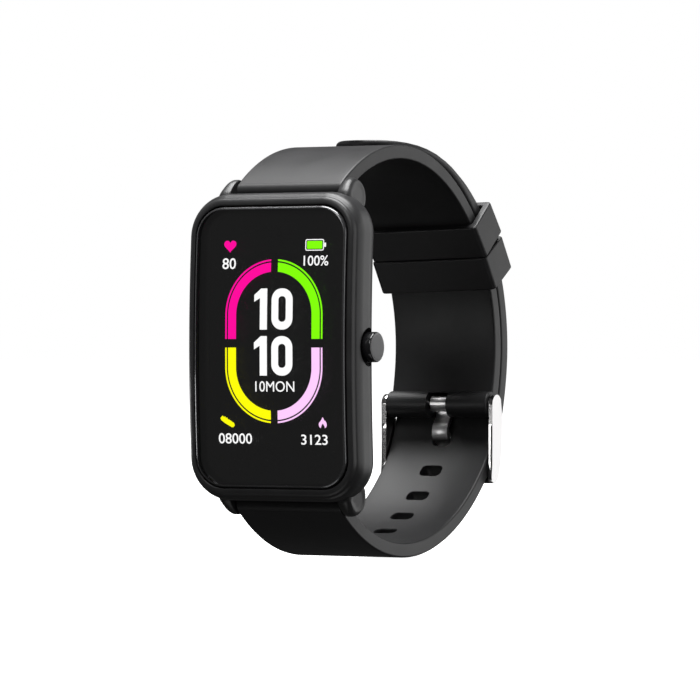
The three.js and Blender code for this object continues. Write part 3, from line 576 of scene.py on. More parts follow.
def outline(width, height, corner, depth, bent=True, z=0.0):
    right = rounded_half(width, height, corner)
    left = [(-x, up) for x, up in right[-2:0:-1]]
    return [spot(x, depth + (arch(up + z) if bent else 0), up + z) for x, up in right + left]


def inset_outline(side, end, depth):
    return outline(CASE_HALF_WIDTH - side, CASE_HALF_HEIGHT - end, CASE_CORNER - (side + end) / 2, depth)


def lug(side, sign):
    """One lug: a thumb that leans inward towards its tip, rounded all round, with a dished outer face."""
    points = smooth_line(LUG_OUTLINE, 5)
    centre = LUG_CENTRE
    # Sections from the inner face to the outer one, as (inset, whether it is on the outer face, shift)
    rings = [(0.3, False, 0.0), (0.1, False, 0.08), (0.0, False, 0.3)]
    for angle in range(0, 91, 15):
        rings.append((LUG_ROUNDING * (1 - unit(angle)[0]), True, -LUG_ROUNDING * (1 - unit(angle)[1])))
    rings += [(0.95, True, -0.02), (1.25, True, -0.07), (1.6, True, -0.09)]
    loops = []
    for inset, is_outer, shift in rings:
        loop = []
        for depth, z in points:
            away = math.hypot(depth - centre[0], z - centre[1])
            kept = max(0.0, 1 - inset / away)
            d = centre[0] + (depth - centre[0]) * kept
            h = centre[1] + (z - centre[1]) * kept
            outer = lerp(LUG_OUTER, LUG_TOP_OUTER, ramp(h, LEAN_START, LEAN_LENGTH))
            x = outer + shift if is_outer else LUG_INNER + shift
            loop.append(spot(side * x, d, sign * h))
        loops.append(loop)
    return solid("lug", loops)


def screw_places():
    return [((low.x + high.x) / 2 / MM, (low.z + high.z) / 2 / MM)
            for low, high in (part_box(f"cover_screw_{i}") for i in (1, 2, 3, 4))]


def make_case():
    rear = []
    for step in range(0, REAR_SWEEP + 1, 5):
        inset = REAR_RADIUS * (1 - unit(step)[0])
        rear.append((inset, REAR_START + REAR_RADIUS * unit(step)[1]))
    pocket = [(POCKET_INSET, POCKET_DEPTH), (INNER_INSET, POCKET_DEPTH), (INNER_INSET, BEZEL[0][1])]
    loops = [inset_outline(side, side * SIDE_TO_END, depth) for side, depth in BEZEL]
    loops += [inset_outline(side, side, depth) for side, depth in rear[1:] + REAR_EDGE + pocket]
    case = raw_object("case", *skin(loops, ring=True))
    added = [lug(side, sign) for side in (1, -1) for sign in (1, -1)]
    added += [post(*SCREW_POST, x, z, 32) for x, z in screw_places()]
    combine(case, added, "UNION")
    button = (BUTTON_DEPTH, 0.0)
    removed = [rod(BAR_CHANNEL, -LUG_INNER, LUG_INNER, bar, 64) for bar in (UPPER_BAR, LOWER_BAR)]
    removed += [rod(NOSE_HOLE, -NOSE_HOLE_REACH, NOSE_HOLE_REACH, bar, 24) for bar in (UPPER_BAR, LOWER_BAR)]
    removed += [post(SCREW_HOLE, SCREW_HOLE_START, BEHIND_CASE, x, z, 24) for x, z in screw_places()]
    removed += [turned_x(BUTTON_RECESS, button), rod(*STEM_HOLE, button, 32), rod(*SEAL_GROOVE, button, 32)]
    combine(case, removed, "DIFFERENCE")
    finished(case, "case_shell", "watch", [CASE_BLACK], ["case_frame"])


# Glass

GLASS_EDGE = [(0.36, 0.0), (0.27, 0.02), (0.17, 0.07), (0.09, 0.14), (0.03, 0.23), (0.0, 0.34)]
PANE_FACING = 0.985  # faces that face the front more squarely than this are the pane, the others its rim
BORDER_MARGIN = 0.12
BORDER_DEPTHS = (1.41, 1.43)
SCREEN_OPENING = (10.9, 19.2, 2.4)  # half its width, half its height, and its corners


def make_glass():
    loops = [
        outline(GLASS_HALF_WIDTH - inset, GLASS_HALF_HEIGHT - inset, GLASS_CORNER - inset, depth)
        for inset, depth in [*GLASS_EDGE, (0.0, GLASS_BACK)]
    ]
    glass = raw_object("glass", *skin(loops))
    piece = finished(glass, "front_glass", "watch", [PANE, GLASS_RIM], ["cover_glass"])
    for face in piece.data.polygons:
        face.material_index = 0 if abs(face.normal.y) > PANE_FACING else 1


def make_border():
    """The black print on the back of the glass, around the display. Its finish carries a faint painted glow
    that stands in for the room mirrored in the glass.
    """
    outer = [size - BORDER_MARGIN for size in (GLASS_HALF_WIDTH, GLASS_HALF_HEIGHT, GLASS_CORNER)]
    front, back = BORDER_DEPTHS
    loops = [outline(*outer, front), outline(*SCREEN_OPENING, front), outline(*SCREEN_OPENING, back),
             outline(*outer, back)]
    border = raw_object("border", *skin(loops, ring=True))
    finished(border, "glass_border", "watch", [BORDER])


# Dial: thin lit shapes between the glass and the display

DIAL_DEPTH = 1.445
DIAL_THICKNESS = 0.015
PINK = lit("dial_pink", (1.0, 0.0, 0.33))
GREEN = lit("dial_green", (0.22, 1.0, 0.0))
YELLOW = lit("dial_yellow", (1.0, 0.98, 0.0))
LILAC = lit("dial_lilac", (1.0, 0.61, 1.0))
WHITE = lit("dial_white", (1.0, 1.0, 1.0))
RING = {"x": 0.1, "z": 0.88, "straight": 3.9, "gap": 0.59, "upper_end": 1.22, "lower_end": -0.07}
RING_BANDS = [(8.3, 8.04), (7.82, 6.45)]
RING_STEPS = 40
# Numerals: heights of each row, and the (x0, x1) and stroke of each figure
NUMERAL_ROWS = {"dial_hours": (2.6, 8.73), "dial_minutes": (-4.24, 1.64)}
ONE_SPAN, ONE_STROKE = (-3.25, -1.05), 1.22
ZERO_SPAN, ZERO_STROKE = (-0.28, 3.31), 1.16


def dial_layer(points, level):
    """An outline of (x, z) points on the front (0) or the back (1) of the lit shapes."""
    depth = DIAL_DEPTH + DIAL_THICKNESS if level else DIAL_DEPTH
    return [spot(x, depth + arch(z), z) for x, z in points]


def slab(outer, inner=None):
    """Points and faces of a flat lit shape, or of one with a hole, from (x, z) outlines."""
    if inner is None:
        return skin([dial_layer(outer, 0), dial_layer(outer, 1)], caps=whole_face)
    return skin([dial_layer(outer, 0), dial_layer(inner, 0), dial_layer(inner, 1), dial_layer(outer, 1)],
                ring=True)


def banded_slab(one, other):
    """A flat lit strip between two rows of equally many points."""
    loops = [dial_layer(one, 0), dial_layer(other, 0), dial_layer(other, 1), dial_layer(one, 1)]
    count = len(one)
    points = [p for loop in loops for p in loop]
    faces = []
    for k in range(4):
        here, there = k * count, (k + 1) % 4 * count
        faces += [(here + i, here + i + 1, there + i + 1, there + i) for i in range(count - 1)]
    faces += [tuple(k * count + end for k in range(4)) for end in (0, count - 1)]
    return points, faces


def lit_piece(name, shapes, material):
    points, faces = [], []
    for shape_points, shape_faces in shapes:
        faces += [tuple(len(points) + k for k in face) for face in shape_faces]
        points += shape_points
    piece = raw_object(name, points, faces)
    finished(piece, name, "watch", [material])


def ring_side(radius, sx, sz):
    """One quarter of a circle of the ring with its straight side, as (x, z) points."""
    start = math.asin(RING["gap"] / radius)
    bend = []
    for i in range(RING_STEPS + 1):
        turn = lerp(start, math.pi / 2, i / RING_STEPS)
        z = sz * (RING["straight"] + radius * math.cos(turn))
        bend.append((RING["x"] + sx * radius * math.sin(turn), RING["z"] + z))
    end = RING["upper_end"] if sz > 0 else RING["lower_end"]
    return [*bend, (RING["x"] + sx * radius, end)]


def make_ring():
    colours = {(-1, 1): PINK, (1, 1): GREEN, (-1, -1): YELLOW, (1, -1): LILAC}
    for number, ((sx, sz), material) in enumerate(colours.items(), 1):
        shapes = [
            banded_slab(ring_side(outer, sx, sz), ring_side(inner, sx, sz))
            for outer, inner in RING_BANDS
        ]
        lit_piece(f"dial_arc_{number}", shapes, material)


def zero_shape(x0, x1, z0, z1, stroke):
    """A zero whose corners nearly fill its width, inside and out."""
    outer = rounded_box(x0, x1, z0, z1, (x1 - x0) * 0.47)
    hole_corner = (x1 - x0 - 2 * stroke) * 0.46
    inner = rounded_box(x0 + stroke, x1 - stroke, z0 + stroke, z1 - stroke, hole_corner)
    return slab(outer, inner)


def one_shape(x0, x1, z0, z1, stroke):
    """A stem with a short flag at its top left."""
    return slab([
        (x1 - stroke, z0), (x1, z0), (x1, z1), (x1 - stroke * 0.85, z1),
        (x0, z1 - stroke * 0.78), (x0, z1 - stroke * 1.62), (x1 - stroke, z1 - stroke * 1.16),
    ])


def make_numerals():
    for name, (low, high) in NUMERAL_ROWS.items():
        one = one_shape(*ONE_SPAN, low, high, ONE_STROKE)
        zero = zero_shape(*ZERO_SPAN, low, high, ZERO_STROKE)
        lit_piece(name, [one, zero], WHITE)


def lettering(name, text, box, material, weight=0.006):
    """Plain figures that fill a box of (x0, x1, z0, z1)."""
    curve = bpy.data.curves.new(name, "FONT")
    curve.body = text
    curve.offset = weight
    curve.resolution_u = 4
    curve.extrude = 0.5
    source = linked(name, curve)
    mesh = settled_mesh(source)
    bpy.data.objects.remove(source)
    x0, x1, z0, z1 = box
    low = [min(v.co[k] for v in mesh.vertices) for k in range(3)]
    high = [max(v.co[k] for v in mesh.vertices) for k in range(3)]
    for v in mesh.vertices:
        a, b, c = [(v.co[k] - low[k]) / (high[k] - low[k]) for k in range(3)]
        z = lerp(z0, z1, b)
        v.co = spot(lerp(x0, x1, a), DIAL_DEPTH + arch(z) + DIAL_THICKNESS * (1 - c), z)
    weld(mesh)
    finished(linked(name, mesh), name, "watch", [material])


def placed(outline_points, x, z, width, height):
    """An outline drawn in a unit square, moved to a place on the dial."""
    return [(x + (a - 0.5) * width, z + (b - 0.5) * height) for a, b in outline_points]


def heart_outline():
    """The usual heart curve, in a unit square."""
    points = []
    for i in range(40):
        t = 2 * math.pi * i / 40
        a = 16 * math.sin(t) ** 3
        b = 13 * math.cos(t) - 5 * math.cos(2 * t) - 2 * math.cos(3 * t) - math.cos(4 * t)
        points.append((a / 32 + 0.5, (b + 17) / 29))
    return points


# Icons drawn in a unit square
SHOE = [
    (0.0, 0.78), (0.16, 0.98), (0.25, 0.84), (0.33, 0.92), (0.39, 0.76), (0.47, 0.83), (0.53, 0.66),
    (0.62, 0.64), (0.95, 0.36), (1.0, 0.18), (0.9, 0.02), (0.78, 0.02), (0.3, 0.36), (0.04, 0.62),
]
FLAME = [
    (0.5, 1.0), (0.62, 0.86), (0.72, 0.66), (0.8, 0.7), (0.96, 0.48), (1.0, 0.28), (0.92, 0.1),
    (0.76, 0.0), (0.72, 0.16), (0.61, 0.32), (0.5, 0.42), (0.39, 0.3), (0.3, 0.14), (0.26, 0.0),
    (0.1, 0.1), (0.0, 0.3), (0.06, 0.5), (0.22, 0.62), (0.36, 0.8),
]


def make_icons():
    lit_piece("dial_heart", [slab(placed(heart_outline(), -7.6, 15.0, 2.1, 1.85))], PINK)
    lit_piece("dial_shoe", [slab(placed(SHOE, -7.93, -11.09, 2.44, 1.8))], YELLOW)
    lit_piece("dial_flame", [slab(placed(FLAME, 8.31, -11.18, 1.38, 1.63))], LILAC)
    lit_piece("dial_cell", [slab(rounded_box(5.55, 8.12, 14.56, 15.72, 0.12, 3))], GREEN)
    rim = slab(rounded_box(5.26, 8.41, 14.28, 15.99, 0.28, 3), rounded_box(5.4, 8.27, 14.42, 15.85, 0.16, 3))
    nub = slab(rounded_box(8.45, 8.75, 14.82, 15.46, 0.1, 3))
    lit_piece("dial_cell_rim", [rim, nub], WHITE)


def make_figures():
    lettering("dial_pulse", "80", (-8.85, -6.54, 11.66, 13.3), WHITE)
    lettering("dial_charge", "100%", (5.04, 9.22, 12.05, 13.56), WHITE)
    lettering("dial_date", "10MON", (-3.06, 3.6, -6.64, -5.07), WHITE, 0.0)
    lettering("dial_steps", "08000", (-9.53, -3.8, -14.42, -12.87), WHITE)
    lettering("dial_energy", "3123", (4.6, 9.07, -14.47, -12.96), WHITE)


# Rear

# Edges are (inset, depth) pairs, seats and profiles (depth, radius) pairs
COVER_INSET = 2.45
COVER_EDGE = [(0, 7.42), (0, 7.85), (0.02, 8.05), (0.09, 8.22), (0.2, 8.35), (0.36, 8.47), (0.58, 8.58),
              (0.9, 8.7), (1.35, 8.8), (2.0, 8.88)]
ISLAND_SIZE = (6.8, 11, 4)  # half its width, half its height, and its corners
ISLAND_HEIGHT = -1.0
ISLAND_EDGE = [(0, 8.2), (0, 9.3), (0.03, 9.42), (0.1, 9.53), (0.2, 9.62), (0.34, 9.68), (0.5, 9.7)]
HOLLOW_SIZE = (10.6, 15.8, 1.4)
HOLLOW_DEPTHS = (6.0, 8.15)
INSIDE_CASE = 6  # a depth in front of the whole rear cover
SCREW_SEAT = [(8.8, 1.4), (9.05, 1.4), (9.3, 1.65)]
SCREW_PROFILE = [(5.4, 0.3), (5.6, 0.5), (8.85, 0.5), (8.85, 1.12), (8.93, 1.2), (9.2, 1.2), (9.33, 1.12),
                 (9.41, 0.95), (9.45, 0.7), (9.45, 0.2)]
CROSS_LONG, CROSS_SHORT = 0.75, 0.16
CROSS_DEPTHS = (9.1, 10)
SENSOR_PLACE = (0, 3)
SENSOR_SEAT = (4.85, 9.0)  # its radius and depth
SENSOR_HOLE = 4.0
LENS_PROFILE = [(9.1, 4.6), (9.48, 4.6), (9.56, 4.57), (9.62, 4.51), (9.67, 4.42), (9.7, 4.3), (9.73, 3.2),
                (9.745, 1.6), (9.75, 0.3)]
CONTACT_SIDE, CONTACT_HEIGHT = 2.6, -8
CONTACT_HOLE = 1.1
PIN_PROFILE = [(6.65, 1.5), (7.05, 1.5), (7.05, 1.0), (9.6, 1.0), (9.68, 0.96), (9.73, 0.88), (9.75, 0.76),
               (9.75, 0.5), (9.72, 0.4), (9.7, 0.2)]


def make_rear_cover():
    loops = [inset_outline(COVER_INSET + inset, COVER_INSET + inset, depth) for inset, depth in COVER_EDGE]
    cover = raw_object("cover", *skin(loops))
    island = [
        outline(*(size - inset for size in ISLAND_SIZE), depth, bent=False, z=ISLAND_HEIGHT)
        for inset, depth in ISLAND_EDGE
    ]
    combine(cover, [raw_object("island", *skin(island))], "UNION")
    hollow = [outline(*HOLLOW_SIZE, depth) for depth in HOLLOW_DEPTHS]
    removed = [raw_object("hollow", *skin(hollow))]
    removed += [post(*SENSOR_SEAT, BEHIND_CASE, *SENSOR_PLACE)]
    removed += [post(SENSOR_HOLE, INSIDE_CASE, BEHIND_CASE, *SENSOR_PLACE)]
    for side in (1, -1):
        removed.append(post(CONTACT_HOLE, INSIDE_CASE, BEHIND_CASE, side * CONTACT_SIDE, CONTACT_HEIGHT, 32))
    for x, z in screw_places():
        removed.append(turned_depth(SCREW_SEAT, x, z, 40))
        removed.append(post(SCREW_HOLE, INSIDE_CASE, BEHIND_CASE, x, z, 24))
    combine(cover, removed, "DIFFERENCE")
    finished(cover, "rear_shell", "watch", [COVER_BLACK], ["rear_cover"])


def make_sensor_window():
    window = turned_depth(LENS_PROFILE, *SENSOR_PLACE, 96)
    finished(window, "sensor_lens", "watch", [SENSOR_PANE], ["sensor_window"])


def make_contacts():
    for side, name in ((-1, "left"), (1, "right")):
        pin = turned_depth(PIN_PROFILE, side * CONTACT_SIDE, CONTACT_HEIGHT, 48)
        finished(pin, f"charge_pin_{name}", "watch", [GOLD], [f"charge_contact_{name}"])


def make_screws():
    front, back = CROSS_DEPTHS
    for number, (x, z) in enumerate(screw_places(), 1):
        screw = turned_depth(SCREW_PROFILE, x, z, 48)
        cross = [block((x - a, front, z - b), (x + a, back, z + b))
                 for a, b in ((CROSS_LONG, CROSS_SHORT), (CROSS_SHORT, CROSS_LONG))]
        combine(screw, cross, "DIFFERENCE")
        finished(screw, f"screw_{number}", "watch", [STEEL], [f"cover_screw_{number}"])


# Button

CAP_START = 15.9
CAP_RADIUS = 1.97
BUTTON_PROFILE = [
    (BUTTON_END, 0.4), (BUTTON_END + 0.05, 0.8), (11.03, 0.8), (11.03, 0.52), (11.27, 0.52), (11.27, 0.8),
    (13.75, 0.8), (13.75, 2.1), (13.8, 2.2), (13.9, 2.25), (15.66, 2.25), (15.76, 2.23), (15.84, 2.18),
    (15.89, 2.11), (15.91, 2.03), (15.9, 1.98), (15.91, 1.95), (15.94, 1.9), (BUTTON_FACE, 1.82),
    (BUTTON_FACE, 0.9), (BUTTON_FACE, 0.2),
]


def make_button():
    """The button, glossy with a satin cap."""
    button = turned_x(BUTTON_PROFILE, (BUTTON_DEPTH, 0.0), 96)
    piece = finished(button, "crown_button", "button", [BUTTON_GLOSS, BUTTON_CAP], ["side_button"])
    for face in piece.data.polygons:
        off_axis = math.hypot(face.center.y - (FRONT + BUTTON_DEPTH) * MM, face.center.z)
        if face.center.x > CAP_START * MM and off_axis < CAP_RADIUS * MM:
            face.material_index = 1


# Strap


def chain(start, angle, arcs):
    """Tangent arcs as (centre, radius, start angle, end angle), all turning the same way."""
    made = []
    point = start
    for radius, sweep in arcs:
        out = unit(angle)
        centre = (point[0] - radius * out[0], point[1] - radius * out[1])
        made.append((centre, radius, angle, angle - sweep))
        angle -= sweep
        out = unit(angle)
        point = (centre[0] + radius * out[0], centre[1] + radius * out[1])
    return made


def length_of(arc):
    return arc[1] * math.radians(arc[2] - arc[3])


def root_of(arc, axis):
    """Where an arc's section passes through an axis, and how far the strap's outer face is from it there."""
    depth, z = axis[0] - arc[0][0], axis[1] - arc[0][1]
    return math.degrees(math.atan2(z, depth)), arc[1] + STRAP_THICKNESS - math.hypot(depth, z)


LOOP_ARCS = chain(STRAP_START, STRAP_START_ANGLE, UPPER_ARCS)
UPPER_ROOT, UPPER_BARREL = root_of(LOOP_ARCS[0], UPPER_BAR)
SHORT_PATH = [
    (*LOOP_ARCS[0][:2], UPPER_ROOT, LOOP_ARCS[0][3]), *LOOP_ARCS[1:-1],
    (*LOOP_ARCS[-1][:3], LOOP_ARCS[-1][2] - SHORT_END_SWEEP),
]
STACK = STRAP_THICKNESS + LAYER_GAP
OVERLAP = [(c, r + STACK, TIP_START_ANGLE if i == 0 else a, b) for i, (c, r, a, b) in enumerate(LOOP_ARCS)]
OVERLAP_LENGTH = sum(length_of(arc) for arc in OVERLAP)


def on_arc(arc, angle, height=0.0):
    out = unit(angle)
    reach = arc[1] + height
    return arc[0][0] + reach * out[0], arc[0][1] + reach * out[1]


LONG_PATH = [*OVERLAP, *chain(on_arc(OVERLAP[-1], OVERLAP[-1][3]), OVERLAP[-1][3], LOWER_ARCS)]
LOWER_ROOT, LOWER_BARREL = root_of(LONG_PATH[-1], LOWER_BAR)
LONG_PATH[-1] = (*LONG_PATH[-1][:3], LOWER_ROOT)


def along(path, distance):
    """The arc and the angle at a distance along a path."""
    for arc in path:
        if distance <= length_of(arc):
            return arc, arc[2] - math.degrees(distance / arc[1])
        distance -= length_of(arc)
    return path[-1], path[-1][3]


def stations(path, first=0.0):
    """Distances along a path to its end, about STATION_LENGTH apart."""
    total = sum(length_of(arc) for arc in path)
    count = math.ceil((total - first) / STATION_LENGTH)
    return [lerp(first, total, i / count) for i in range(count + 1)]


def band_section(half_width, thickness, rounding, segments=4):
    """Half of a rounded rectangle and its mirror image, as (x, height) points."""
    r = min(rounding, thickness / FULL_ROUND)
    top = arc_points((half_width - r, thickness - r), r, 90, 0, segments)
    bottom = arc_points((half_width - r, r), r, 0, -90, segments)
    inner = [((half_width - r) * t, thickness) for t in (0.33, 0.66, 0.9)]
    under = [((half_width - r) * t, 0) for t in (0.9, 0.66, 0.33)]
    right = [(0, thickness), *inner, *top, *bottom, *under, (0, 0)]
    left = [(-x, up) for x, up in right[-2:0:-1]]
    return right + left


def band_loop(path, distance, section):
    arc, angle = along(path, distance)
    return [spot(x, *on_arc(arc, angle, up)) for x, up in section]


def barrel(axis, radius):
    """A rolled end with softened rims, a hair inside the strap so that no two faces coincide."""
    r = BARREL_ROUNDING
    half = STRAP_HALF_WIDTH - BARREL_MARGIN
    radius -= BARREL_SINK
    rim = [(half - r + r * unit(a)[0], radius - r + r * unit(a)[1]) for a in (90, 60, 30, 0)]
    profile = [(-x, reach) for x, reach in rim[::-1]] + rim
    return turned_x(profile, axis, 96)


def bar_bore(bar):
    """A bore for a spring bar, longer than the strap is wide."""
    return rod(BAR_BORE, -10, 10, bar, 32)


def make_strap_upper():
    section = band_section(STRAP_HALF_WIDTH, STRAP_THICKNESS, EDGE_ROUNDING)
    loops = [band_loop(SHORT_PATH, distance, section) for distance in stations(SHORT_PATH)]
    strap = solid("strap", loops)
    combine(strap, [barrel(UPPER_BAR, UPPER_BARREL), barrel(BUCKLE_BAR, BUCKLE_BARREL)], "UNION")
    depth, z = BUCKLE_BAR
    half, reach, top = PRONG_GAP
    gap = block((-half, depth - reach, z - reach), (half, depth + reach, z + top))
    combine(strap, [bar_bore(UPPER_BAR), bar_bore(BUCKLE_BAR), gap], "DIFFERENCE")
    finished(strap, "short_strap", "watch", [SILICONE], ["strap_upper"])


def long_section(distance):
    """The long strap's section at a distance from its tip: narrow, thin and round at the tip itself."""
    left = max(0.0, 1 - distance / TIP_LENGTH)
    squared = ramp(distance, TIP_LENGTH, TIP_SQUARING)
    half_width = STRAP_HALF_WIDTH * math.sqrt(max(0.0, 1 - left ** 2))
    half_width -= TIP_SLIMMING * (1 - squared) * ramp(distance, SLIMMING_START, SLIMMING_LENGTH)
    half_width = max(half_width, LEAST_HALF_WIDTH)
    thickness = lerp(TIP_THICKNESS, STRAP_THICKNESS, ramp(distance, 0, TAPER_LENGTH))
    rounding = lerp(thickness / FULL_ROUND, EDGE_ROUNDING, squared)
    return band_section(half_width, thickness, min(rounding, half_width / 2))


def slot_tool(distance, half_width, half_length):
    """A rounded opening through the strap, flared at both faces."""
    arc, angle = along(LONG_PATH, distance)
    out = unit(angle)
    # Sections from below the strap to above it, as (height, how much larger)
    sections = [
        (-SLOT_OVERSHOOT, SLOT_FLARE + SLOT_OVERSHOOT), (0, SLOT_FLARE), (SLOT_FLARE, 0),
        (STRAP_THICKNESS - SLOT_FLARE, 0), (STRAP_THICKNESS, SLOT_FLARE),
        (STRAP_THICKNESS + SLOT_OVERSHOOT, SLOT_FLARE + SLOT_OVERSHOOT),
    ]
    loops = []
    for height, grow in sections:
        width, length = half_width + grow, half_length + grow
        shape = rounded_box(-width, width, -length, length, SLOT_CORNER + grow, 6)
        base = on_arc(arc, angle, height)
        loops.append([spot(x, base[0] + t * out[1], base[1] - t * out[0]) for x, t in shape])
    return solid("slot", loops)


def make_strap_lower():
    tips = [TIP_LENGTH * (1 - unit(angle)[0]) for angle in TIP_ANGLES]
    distances = tips + stations(LONG_PATH, TIP_LENGTH + STATION_LENGTH)
    loops = [band_loop(LONG_PATH, distance, long_section(distance)) for distance in distances]
    strap = solid("strap", loops)
    combine(strap, [barrel(LOWER_BAR, LOWER_BARREL)], "UNION")
    removed = [bar_bore(LOWER_BAR)]
    for number in SLOT_NUMBERS:
        if number == 0:
            removed.append(slot_tool(OVERLAP_LENGTH + PRONG_SLOT[0], *PRONG_SLOT[1:]))
        else:
            removed.append(slot_tool(OVERLAP_LENGTH + FIRST_SLOT + SLOT_PITCH * number, *SLOT_HALF))
    combine(strap, removed, "DIFFERENCE")
    finished(strap, "long_strap", "watch", [SILICONE], ["strap_lower"])


# Keepers

KEEPER_HALF_LENGTH = 2.93
KEEPER_HALF_WIDTH = 10.3
KEEPER_WALL = 1.1
KEEPER_CLEARANCE = 0.15
KEEPER_ASKEW = 2.0  # degrees
KEEPER_ROUNDING = 0.28
KEEPER_CORNER = 0.6
HOLE_CORNER = 0.35
HOLE_FLARE, HOLE_FLARE_LENGTH = 0.12, 0.15


def make_keeper(node, name, arc, normal_angle, centre_angle):
    """A straight moulded loop around both straps, sitting a little askew."""
    bottom = -KEEPER_CLEARANCE - KEEPER_WALL
    top = STACK + STRAP_THICKNESS + KEEPER_CLEARANCE + KEEPER_WALL
    middle = (top + bottom) / 2
    half_height = top - middle
    centre = on_arc(arc, centre_angle, middle)
    out = unit(normal_angle)
    askew = math.radians(KEEPER_ASKEW)

    def loop(half_x, half_up, corner, t):
        placed_points = []
        for x, height in rounded_box(-half_x, half_x, -half_up, half_up, corner, 6):
            sx = x * math.cos(askew) + t * math.sin(askew)
            st = -x * math.sin(askew) + t * math.cos(askew)
            depth = centre[0] + height * out[0] + st * out[1]
            placed_points.append(spot(sx, depth, centre[1] + height * out[1] - st * out[0]))
        return placed_points

    def outside(inset, t):
        return loop(KEEPER_HALF_WIDTH - inset, half_height - inset, KEEPER_CORNER, t)

    def inside(grow, t):
        return loop(KEEPER_HALF_WIDTH - KEEPER_WALL + grow, half_height - KEEPER_WALL + grow, HOLE_CORNER, t)

    steps = []
    for angle in (0, 30, 60, 90):
        across, up = unit(angle)
        steps.append((KEEPER_ROUNDING * (1 - up), KEEPER_HALF_LENGTH - KEEPER_ROUNDING * (1 - across)))
    loops = [outside(inset, -t) for inset, t in steps] + [outside(inset, t) for inset, t in steps[::-1]]
    loops += [inside(HOLE_FLARE, KEEPER_HALF_LENGTH), inside(0, KEEPER_HALF_LENGTH - HOLE_FLARE_LENGTH),
              inside(0, HOLE_FLARE_LENGTH - KEEPER_HALF_LENGTH), inside(HOLE_FLARE, -KEEPER_HALF_LENGTH)]
    keeper = raw_object("keeper", *skin(loops, ring=True))
    finished(keeper, name, node, [SILICONE], [node])


# Buckle

# A side rail's outline after its eye, as (depth, height) from the bar
RAIL_OUTLINE = [
    (1.8, -1.6), (1.84, -3.2), (1.74, -6), (1.3, -9.2), (0.7, -11.2), (-0.3, -12.25), (-1.2, -12.4),
    (-1.85, -11.6), (-1.65, -9.5), (-1.6, -6), (-1.6, -3),
]
RAIL_EYE = 1.6
NEAR_RAIL, FAR_RAIL = (9.32, 9.95), (-9.95, -9.12)
CROSS_BAR = (55.3, -20.6)
CROSS_BAR_TILT = -134  # degrees
CROSS_BAR_HALF = (1.25, 0.45)
CROSS_BAR_SIDES = 32
CROSS_BAR_REACH = 9.6
BUCKLE_BORE = 0.55
BUCKLE_BORE_REACH = 9.87

# The prong's middle line, as (depth, height), from the bar to its tip
PRONG_ROUTE = [
    (56.9, -9.8), (56.85, -10.9), (56.35, -11.75), (55.75, -12.5), (55.5, -13.4), (55.65, -14.25),
    (56.4, -14.85), (57.6, -15.5), (58.35, -16.1), (58.4, -17.3), (57.5, -20.2), (56.6, -21.6),
]
PRONG_HALF_WIDTH = 1.36
PRONG_HALF_THICKNESS = 0.35
PRONG_EYE = (1.3, 1.15, 1.4)  # how far it reaches from the bar sideways, down and up
PRONG_EYE_CORNER = 1.15
BUCKLE_SOFTENING = 0.2
PRONG_SOFTENING = 0.08


def prism(points, x0, x1):
    loops = [[spot(x, *p) for p in points] for x in (x0, x1)]
    return solid("prism", loops)


def strip(route, half):
    """The outline of a bent strip of constant thickness along a route."""
    left, right = [], []
    for i, point in enumerate(route):
        before, after = route[max(i - 1, 0)], route[min(i + 1, len(route) - 1)]
        dx, dy = after[0] - before[0], after[1] - before[1]
        size = math.hypot(dx, dy)
        left.append((point[0] - dy / size * half, point[1] + dx / size * half))
        right.append((point[0] + dy / size * half, point[1] - dx / size * half))
    return left + right[::-1]


def make_buckle():
    depth, z = BUCKLE_BAR
    rail = arc_points(BUCKLE_BAR, RAIL_EYE, 180, 30, 28)
    rail += smooth_line([(depth + a, z + b) for a, b in RAIL_OUTLINE], 5)
    buckle = prism(rail, *NEAR_RAIL)
    far = prism(rail, *FAR_RAIL)
    tilt = unit(CROSS_BAR_TILT)
    cross = []
    for i in range(CROSS_BAR_SIDES):
        turn = unit(i * 360 / CROSS_BAR_SIDES)
        a, b = CROSS_BAR_HALF[0] * turn[0], CROSS_BAR_HALF[1] * turn[1]
        cross.append((CROSS_BAR[0] + a * tilt[0] - b * tilt[1], CROSS_BAR[1] + a * tilt[1] + b * tilt[0]))
    combine(buckle, [far, prism(cross, -CROSS_BAR_REACH, CROSS_BAR_REACH)], "UNION")
    combine(buckle, [rod(BUCKLE_BORE, -BUCKLE_BORE_REACH, BUCKLE_BORE_REACH, BUCKLE_BAR, 32)], "DIFFERENCE")
    soften(buckle, BUCKLE_SOFTENING, 4)
    finished(buckle, "buckle_rim", "buckle", [STEEL], ["buckle_frame"])


def make_prong():
    sides = (-PRONG_HALF_WIDTH, PRONG_HALF_WIDTH)
    prong = prism(strip(smooth_line(PRONG_ROUTE, 6), PRONG_HALF_THICKNESS), *sides)
    depth, z = BUCKLE_BAR
    aside, down, up = PRONG_EYE
    eye = rounded_box(depth - aside, depth + aside, z - down, z + up, PRONG_EYE_CORNER, 10)
    combine(prong, [prism(eye, *sides)], "UNION")
    combine(prong, [rod(BAR_BORE, -3, 3, BUCKLE_BAR)], "DIFFERENCE")
    soften(prong, PRONG_SOFTENING)
    finished(prong, "buckle_tongue", "prong", [BRUSHED_STEEL], ["buckle_prong"])


# Studio, in metres

FLOOR_GAP = 0.001
FLOOR_HEIGHT = CAD_BOX[0][2] - FLOOR_GAP
FLOOR_HALF_SIZE = 12.0
ROOM_LIGHT = 0.05
